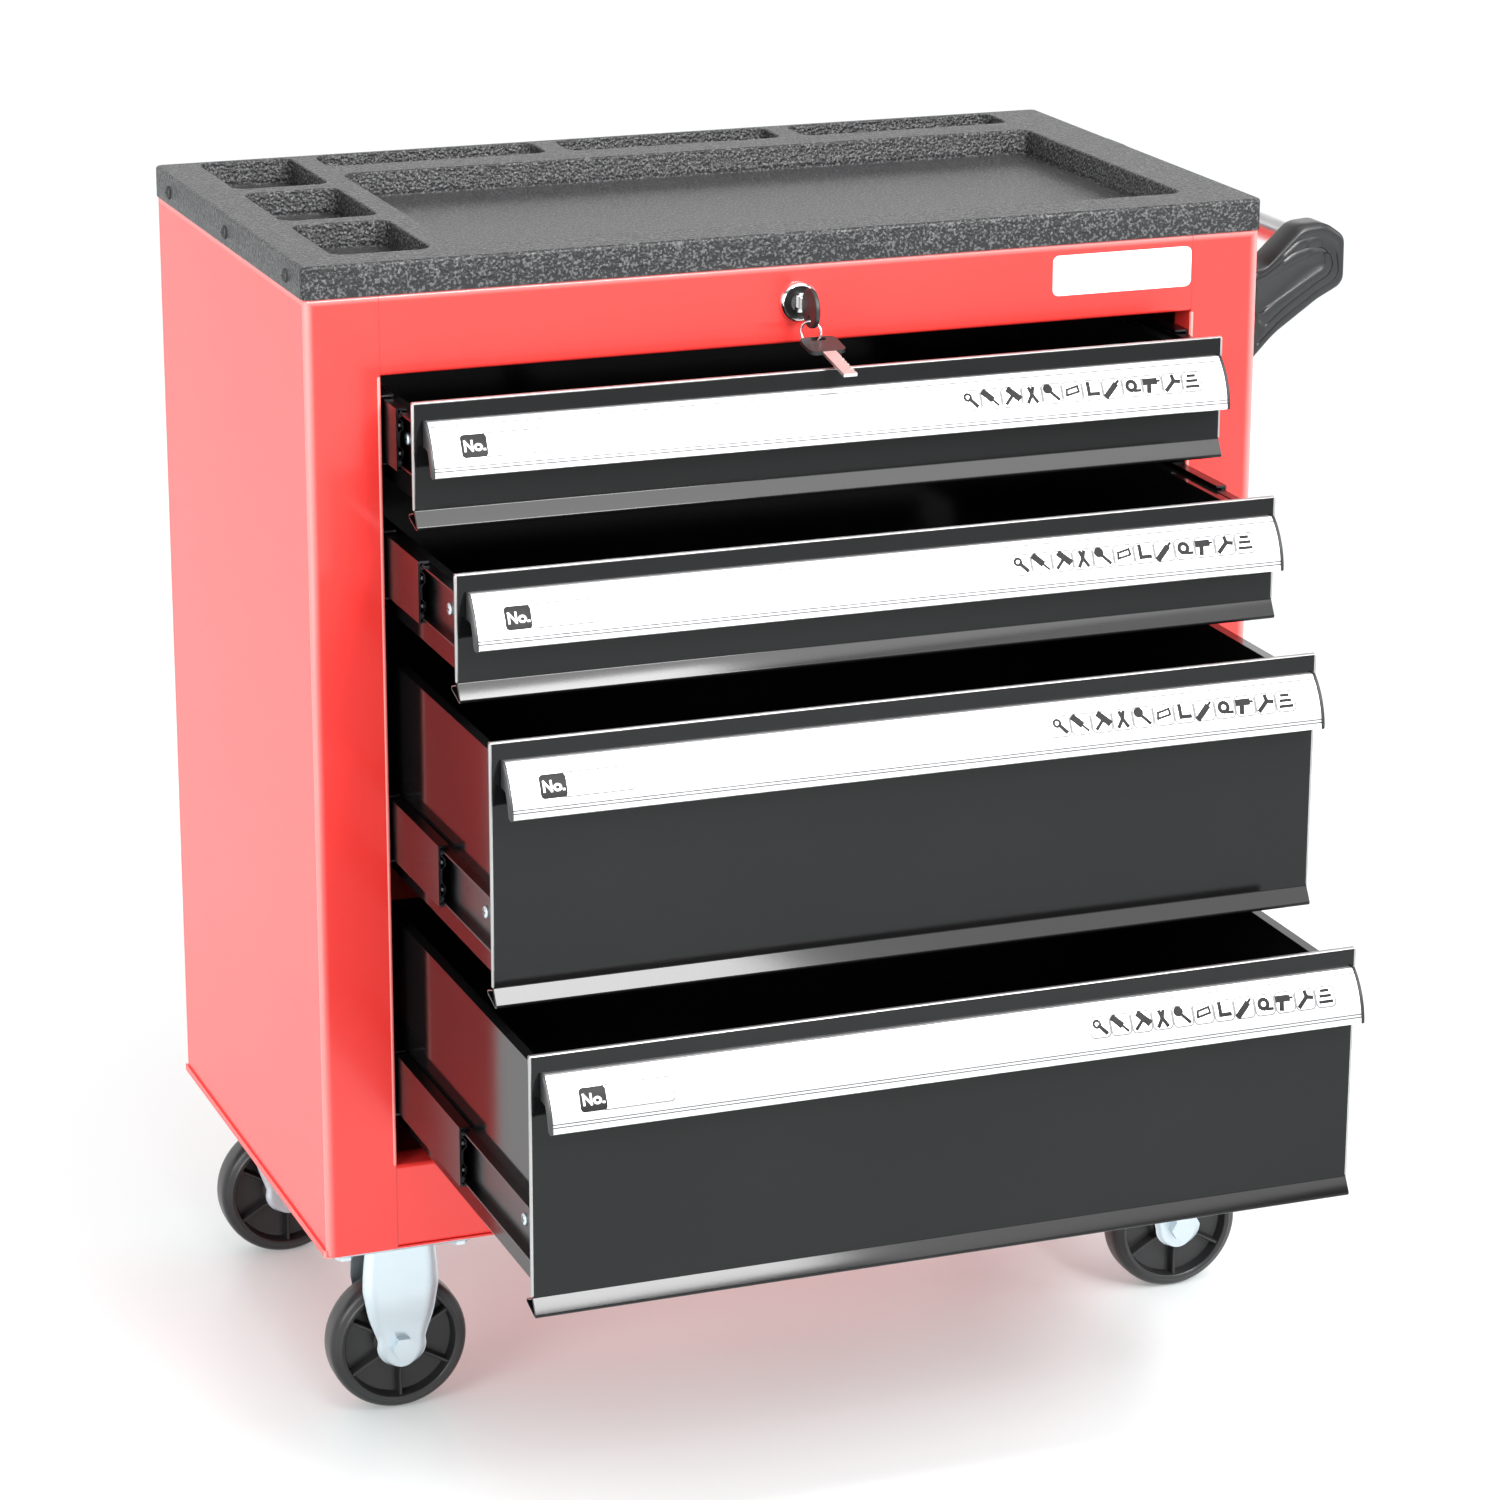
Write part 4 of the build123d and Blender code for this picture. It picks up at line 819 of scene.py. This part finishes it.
def opening_edges():
    """Rolled inner edges of the two front posts, along the drawers, in a paler red as a painted highlight.
    """
    shape = bmesh.new()
    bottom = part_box("bottom_rail")[1].z
    for x, side in ((left_high.x, -1), (right_low.x, 1)):
        rolled_edge(shape, x + side * mm(POST_ROLL_IN), FACE_Y + mm(POST_ROLL_IN), bottom,
                    rail_low.z, POST_ROLL)
    piece("opening_edges", shape, "root", RED_EDGE_HIGHLIGHT, 50)


# ---- lock ----------------------------------------------------------------------
# The barrel's turned section: (radius, distance behind the cabinet's face)
BARREL_SECTION = ((9.5, 26), (9.5, 0), (12.4, 0), (12.5, -0.8), (12.3, -2.2), (11.7, -3.4),
                  (10.9, -4.0), (10.3, -3.9), (9.9, -3.2), (9.6, -2.2), (8.8, -1.9), (6.3, -1.9),
                  (6.06, -1.9), (6.06, 26))
BARREL_DISH = (9, 13)     # rows of the section that make the dark dish
BARREL_COUNT = 64


def lock_bezel():
    """Chrome ring with a dark dish inside it, round the plug."""
    low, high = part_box("lock_body")
    x, z = (low.x + high.x) / 2, (low.z + high.z) / 2
    shape = bmesh.new()
    rings = [[Vector((x + mm(a), FACE_Y + mm(behind), z + mm(b)))
              for a, b in around(radius, BARREL_COUNT)] for radius, behind in BARREL_SECTION]
    rows = skin(shape, rings, caps=False)
    for i in range(BARREL_COUNT):
        j = (i + 1) % BARREL_COUNT
        shape.faces.new((rows[-1][i], rows[-1][j], rows[0][j], rows[0][i]))
    dish = {vert for row in rows[BARREL_DISH[0]:BARREL_DISH[1]] for vert in row}
    for face in shape.faces:
        if all(vert in dish for vert in face.verts):
            face.material_index = 1
    made = piece("lock_bezel", shape, "root", (CHROME, BLACK_INK), 40)
    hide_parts("lock_body")


# ---- handle brackets -----------------------------------------------------------
BRACKET_COUNT = 120       # points round the bracket's outlines
BRACKET_MIDDLE = (30, 685)


def filleted(corners, count):
    """A closed outline from corners (x, z, radius), spread into count even points."""
    points = []
    for i, (x, z, radius) in enumerate(corners):
        before, after = corners[i - 1], corners[(i + 1) % len(corners)]
        corner = Vector((x, z))
        back = (Vector(before[:2]) - corner).normalized()
        ahead = (Vector(after[:2]) - corner).normalized()
        if radius == 0:
            points.append(corner)
            continue
        half = back.angle(ahead) / 2
        reach = radius / math.tan(half)
        centre = corner + (back + ahead).normalized() * (radius / math.sin(half))
        start, end = corner + back * reach - centre, corner + ahead * reach - centre
        swing = math.atan2(start.x * end.y - start.y * end.x, start.dot(end))
        for step in range(9):
            turn = swing * step / 8
            points.append(centre + Matrix.Rotation(turn, 2) @ start)
    lengths = [0.0]
    for one, other in zip(points, points[1:] + points[:1]):
        lengths.append(lengths[-1] + (other - one).length)
    points.append(points[0])
    even = []
    k = 0
    for i in range(count):
        want = lengths[-1] * i / count
        while lengths[k + 1] < want:
            k += 1
        span = lengths[k + 1] - lengths[k]
        even.append(points[k].lerp(points[k + 1], (want - lengths[k]) / span if span else 0))
    return even


# Corners of the outline and of its sunk panel: (out from the side panel, height, fillet)
BRACKET_OUTLINE = ((0, 689.5, 0), (10, 690, 9), (35.5, 713.8, 14), (52, 715, 11), (65, 706, 9),
                   (65, 676, 9), (47, 667, 22), (17, 646.5, 60), (0, 629, 0))
BRACKET_PANEL = ((5.2, 679, 1.5), (12, 682, 6), (38, 694, 12), (48.5, 698.5, 2.5), (51.3, 695, 2.5),
                 (51.3, 688, 3.5), (44, 684, 14), (18, 668.5, 30), (5.2, 659, 2.5))
# Nested steps of the outer face: (share of the way in to the panel, depth behind the face)
BRACKET_STEPS = ((0.0, 1.9), (0.02, 1.1), (0.06, 0.4), (0.12, 0.0), (0.28, 0.1), (0.30, 0.6), (0.32, 0.6),
                 (0.34, 0.35), (0.58, 0.4), (0.60, 0.9), (0.62, 0.9), (0.64, 0.6), (0.96, 0.7), (0.98, 0.9),
                 (0.99, 1.2), (1.0, 1.3))


def bracket(node, front):
    """Moulded bracket: rounded rim, stepped contours and a sunk panel on its outer face."""
    low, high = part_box(node)
    face, back, inward = (low.y, high.y, 1) if front else (high.y, low.y, -1)
    rim = filleted(BRACKET_OUTLINE, BRACKET_COUNT)
    panel = filleted(BRACKET_PANEL, BRACKET_COUNT)
    rings = []

    def ring(points, y):
        rings.append([Vector((SIDE_X + mm(p.x), y, mm(p.y))) for p in points])

    middle = Vector(BRACKET_MIDDLE)
    ring([p.lerp(middle, 0.03) for p in rim], back)
    ring([p.lerp(middle, 0.008) for p in rim], back - inward * mm(0.5))
    ring(rim, back - inward * mm(1.5))
    ring(rim, (face + back) / 2)
    for share, depth in BRACKET_STEPS:
        ring([one.lerp(other, share) for one, other in zip(rim, panel)], face + inward * mm(depth))
    shape = bmesh.new()
    skin(shape, rings)
    made = piece(node + "_moulding", shape, "root", BRACKET_PLASTIC, 50)
    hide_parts(node)


def handle():
    bracket("handle_bracket_front", True)
    bracket("handle_bracket_rear", False)


# ---- casters -------------------------------------------------------------------
AXLE_Z = 44.5
LEG_INSIDE = 13.3
LEG_SHEET = 2.5
LEG_EYE = 14.0
LEG_EYE_HALF = 16.0
LEG_TOP_HALF = 22.0
LEG_WIDE_HALF = 24.5
LEG_WIDE_DROP = 32.0
PLATE_L = 92.0
PLATE_W = 54.0
PLATE_THICK = 2.5


def leg_half_width(z, top):
    """Half the leg's width at height z: widest below the plate, then tapering to a round end."""
    wide_z = top - LEG_WIDE_DROP
    tangent_z = AXLE_Z + 4.0
    tangent_half = LEG_EYE_HALF * math.sqrt(1 - (4.0 / LEG_EYE) ** 2)
    if z > wide_z:
        share = (top - z) / LEG_WIDE_DROP
        return LEG_TOP_HALF + (LEG_WIDE_HALF - LEG_TOP_HALF) * math.sin(share * math.pi / 2)
    if z > tangent_z:
        share = (wide_z - z) / (wide_z - tangent_z)
        bulge = 1.2 * math.sin(share * math.pi) ** 2
        return LEG_WIDE_HALF + (tangent_half - LEG_WIDE_HALF) * share + bulge
    return LEG_EYE_HALF * math.sqrt(max(1 - ((z - AXLE_Z) / LEG_EYE) ** 2, 0.0004))


def eased(value, low, high):
    """0 at low, 1 at high, with a smooth step between."""
    share = min(max((value - low) / (high - low), 0), 1)
    return share * share * (3 - 2 * share)


def fork_leg(shape, x, y, top, trail, side):
    """A pressed leg: its middle stands out, and its edges are rolled back towards the wheel."""
    levels = [top - (top - AXLE_Z) * i / 16 for i in range(16)]
    levels += [AXLE_Z + LEG_EYE * math.cos(math.pi * (0.5 + 0.5 * i / 12)) for i in range(13)]
    right = (0.3, 0.6, 0.74, 0.82, 0.88, 0.93, 0.97, 1)
    across = (*(-u for u in reversed(right)), 0, *right)
    rings = []
    for z in levels:
        half = leg_half_width(z, top)
        centre = trail * (top - z) / (top - AXLE_Z) if z > AXLE_Z else trail
        raised = 1.9 * eased(z, AXLE_Z + 8, AXLE_Z + 34)
        ring = []
        for u in across:
            roll = eased(abs(u), 0.74, 1.0) * (LEG_SHEET - 0.9 + raised)
            out = LEG_INSIDE + LEG_SHEET + raised - roll
            ring.append(Vector((x + mm(centre + u * half), y + side * mm(out), mm(z))))
        for u in reversed(across):
            ring.append(Vector((x + mm(centre + u * half), y + side * mm(LEG_INSIDE), mm(z))))
        rings.append(ring)
    skin(shape, rings)


def plate_pad(shape, x, y, top, length, width, thickness):
    """Rounded rectangular plate with softened edges."""
    rings = []
    for drop, inset in ((0, 0.5), (0.5, 0), (thickness - 0.5, 0), (thickness, 0.5)):
        half_l, half_w = length / 2 - inset, width / 2 - inset
        outline = rounded_frame(-half_l, half_l, -half_w, half_w, 6)
        rings.append([Vector((x + mm(px), y + mm(py), mm(top - drop))) for px, py in outline[:-1]])
    skin(shape, rings)


def disc(shape, x, y, levels):
    """A turned shape about an upright axis: levels are (z, radius)."""
    rings = [[Vector((x + mm(a), y + mm(b), mm(z))) for a, b in around(radius, 48)]
             for z, radius in levels]
    skin(shape, rings)


def caster_fork(name, body, swivel):
    """Two pressed legs under a round crown on a swivel caster, under a plate on a rigid one."""
    low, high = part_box(name + "_wheel")
    wheel_x, y = (low.x + high.x) / 2, (low.y + high.y) / 2
    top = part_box(name + "_fork")[1].z * 1000
    leg_top = top - PLATE_THICK
    shape = bmesh.new()
    if swivel:
        plate_low, plate_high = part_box(name + "_plate")
        x = (plate_low.x + plate_high.x) / 2
        disc(shape, x, y, ((top - 5, 23.5), (top - 4.2, 26), (top - 1, 26), (top, 25.2)))
        shoulder = rounded_frame(-22, 22, -16.6, 16.6, 2.5)[:-1]
        rings = [[Vector((x + mm(px), y + mm(py), mm(z))) for px, py in shoulder]
                 for z in (leg_top - PLATE_THICK, leg_top)]
        skin(shape, rings)
    else:
        x = wheel_x
        plate_pad(shape, x, y, top, PLATE_L, PLATE_W, PLATE_THICK)
    for side in (-1, 1):
        fork_leg(shape, x, y, leg_top, (wheel_x - x) * 1000, side)
    made = piece(name + "_pressed_fork", shape, body, ZINC, 50)
    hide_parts(name + "_fork")


# Half of the wheel's turned section: (radius, half width)
WHEEL_SECTION = (
    (4.1, 12.5), (11.2, 12.5), (11.9, 12.2), (12.2, 11.5), (12.9, 4.8), (13.8, 3.8), (15.5, 3.5),
    (33.0, 3.5), (34.6, 3.9), (35.3, 5.0), (35.6, 10.6), (35.9, 11.5), (36.5, 12.0), (37.3, 12.1),
    (37.9, 12.5), (38.5, 12.5), (38.9, 12.1), (39.6, 11.6), (41.2, 10.9), (42.6, 9.9), (43.6, 8.5),
    (44.2, 6.8), (44.45, 4.5), (44.5, 2.0))
# Tops of the ribs: (radius, half width)
RIB_LEVELS = ((11.5, 10.8), (13.0, 10.4), (24.0, 9.6), (34.0, 10.0), (36.0, 10.4))
RIBS = 6


def wheel(name, body):
    """Moulded wheel: rounded tread, raised rim ring, thin web with six ribs, and a hub."""
    low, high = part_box(name)
    x, y, z = ((a + b) / 2 for a, b in zip(low, high))
    section = [(radius, -half) for radius, half in WHEEL_SECTION]
    section += [(radius, half) for radius, half in reversed(WHEEL_SECTION)]
    shape = bmesh.new()
    rings = []
    for i in range(73):
        turn = 2 * math.pi * i / 72
        rings.append([Vector((x + mm(r * math.cos(turn)), y + mm(w), z + mm(r * math.sin(turn))))
                      for r, w in section])
    skin(shape, rings, caps=False)
    for i in range(RIBS):
        turn = Matrix.Rotation(math.radians(60 * i + 30), 3, "Y")
        for side in (-1, 1):
            rings = []
            for r, tall in RIB_LEVELS:
                profile = ((-1.7, 2.5), (-1.2, tall - 0.7), (-0.7, tall), (0.7, tall),
                           (1.2, tall - 0.7), (1.7, 2.5))
                rings.append([Vector((x, y, z)) + turn @ Vector((mm(r), side * mm(w), mm(t)))
                              for t, w in profile])
            skin(shape, rings)
    made = piece(name + "_moulding", shape, body, NYLON, 40)
    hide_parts(name)


def casters():
    for end in ("front", "rear"):
        caster_fork("rigid_" + end, "root", False)
        caster_fork("swivel_" + end, "swivel_" + end, True)
        wheel("rigid_" + end + "_wheel", "rigid_" + end + "_wheel")
        wheel("swivel_" + end + "_wheel", "swivel_" + end + "_wheel")


# ---- slides and screws ---------------------------------------------------------
SCREW_RUNS = (8.0, 26.0, 150.0, 268.0)
SLIDE_HEAD = (3.8, 1.7)   # radius and height of a slide screw's head
RIM_HEAD = (4.3, 1.8)


def round_head(shape, centre, outward, radius, height):
    """A low pan head, its seat at centre and its top towards outward, with a dark raised cross as the
    painted shade of a cross recess.
    """
    turn = outward.to_track_quat("Z", "Y").to_matrix()
    levels = ((0, 1.0), (0.35, 1.0), (0.7, 0.9), (0.92, 0.68), (1.0, 0.35))
    rings = []
    for rise, share in levels:
        rings.append([centre + turn @ Vector((mm(a), mm(b), mm(height * rise)))
                      for a, b in around(radius * share, 24)])
    skin(shape, rings)
    # painted shade: a dark cross stands in for the shaded cross recess
    arm, half = radius * 0.62, radius * 0.13
    for swap in (False, True):
        rings = []
        for rise, share in ((height * 0.72, 0.8), (height * 1.03, 1.0)):
            corners = ((-arm, -half), (arm, -half), (arm, half), (-arm, half))
            ring = [(b, a) if swap else (a, b) for a, b in corners]
            rings.append([centre + turn @ Vector((mm(a * share), mm(b * share), mm(rise)))
                          for a, b in ring])
        skin(shape, rings, material=1)


def slide_screws(drawer):
    """Bright screws that hold the moving slide members to the drawer's walls."""
    low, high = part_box(drawer + "_slide_inner")
    wall_low, wall_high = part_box(drawer + "_box")
    middle = (low.z + high.z) / 2
    shape = bmesh.new()
    for wall, side in ((wall_low.x, -1), (wall_high.x, 1)):
        for run in SCREW_RUNS:
            seat = Vector((wall + side * mm(1.2), low.y + mm(run), middle))
            round_head(shape, seat, Vector((side, 0, 0)), *SLIDE_HEAD)
    piece(drawer + "_slide_screws", shape, drawer, (ZINC, DARK_STEEL), 40)


# The retainer's curve from top to bottom: (in from the slide's web, above its middle)
RETAINER_PATH = ((6.6, 17.6), (3.4, 17.4), (1.4, 15.4), (1.6, 12.6), (3.6, 10.6), (3.8, 6.4),
                 (1.8, 4.2), (1.6, 0), (1.8, -4.2), (3.8, -6.4), (3.6, -10.6), (1.6, -12.6),
                 (1.4, -15.4), (3.4, -17.4), (6.6, -17.6))
BALL_RUNS = (0.9, 4.7)
BALL_HEIGHTS = (14.2, -14.2, 8.4, -8.4)
BALL_R = 1.45
BALL_IN = 2.6


def ball_retainers(drawer):
    """Curved retainers with their last balls, in the front ends of the middle slide members."""
    low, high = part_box(drawer + "_slide_mid")
    middle = (low.z + high.z) / 2
    cage, balls = bmesh.new(), bmesh.new()
    for web, side in ((low.x, 1), (high.x, -1)):
        rings = []
        for run, inset in ((-0.7, 0.25), (-0.1, 0), (7.3, 0), (7.9, 0.25)):
            front = [(x - 0.5 + inset, z) for x, z in RETAINER_PATH]
            behind = [(x + 0.7 - inset, z) for x, z in RETAINER_PATH]
            rings.append([Vector((web + side * mm(x), low.y + mm(run), middle + mm(z)))
                          for x, z in front + behind[::-1]])
        skin(cage, rings)
        for run in BALL_RUNS:
            for z in BALL_HEIGHTS:
                place = Matrix.Translation((web + side * mm(BALL_IN), low.y + mm(run), middle + mm(z)))
                bmesh.ops.create_uvsphere(balls, u_segments=16, v_segments=10, radius=mm(BALL_R),
                                          matrix=place)
    piece(drawer + "_ball_retainers", cage, drawer + "_slides", SLIDE, 40)
    piece(drawer + "_slide_balls", balls, drawer + "_slides", DARK_STEEL, 60)


def slides():
    for drawer in DRAWERS:
        slide_screws(drawer)
        ball_retainers(drawer)


SCREW_END = 36.0          # outer rim screws from the tray's ends
SCREW_DROP = 11.6         # rim screws below the tray's top
BRACKET_RISES = (14, 49)  # bracket screws above the bracket's foot


def tray_screws():
    """Cross-headed screws in the tray's rim, and inside the cabinet those of the handle brackets."""
    shape = bmesh.new()
    first, last = tray_low.y + mm(SCREW_END), tray_high.y - mm(SCREW_END)
    height = tray_high.z - mm(SCREW_DROP)
    for y in (first, (first + last) / 2, last):
        for x, side in ((tray_low.x, -1), (tray_high.x, 1)):
            round_head(shape, Vector((x, y, height)), Vector((side, 0, 0)), *RIM_HEAD)
    for node in ("handle_bracket_front", "handle_bracket_rear"):
        low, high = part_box(node)
        for rise in BRACKET_RISES:
            seat = Vector((SIDE_X - mm(1.2), (low.y + high.y) / 2, low.z + mm(rise)))
            round_head(shape, seat, Vector((-1, 0, 0)), *RIM_HEAD)
    made = piece("rim_screws", shape, "root", (DARK_STEEL, BLACK_INK), 40)
    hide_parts("panel_screws")


camera()
studio()
paint_nodes()
drawer_fronts()
pulls()
opening_edges()
lock_bezel()
handle()
casters()
slides()
tray_screws()
studio_floor()
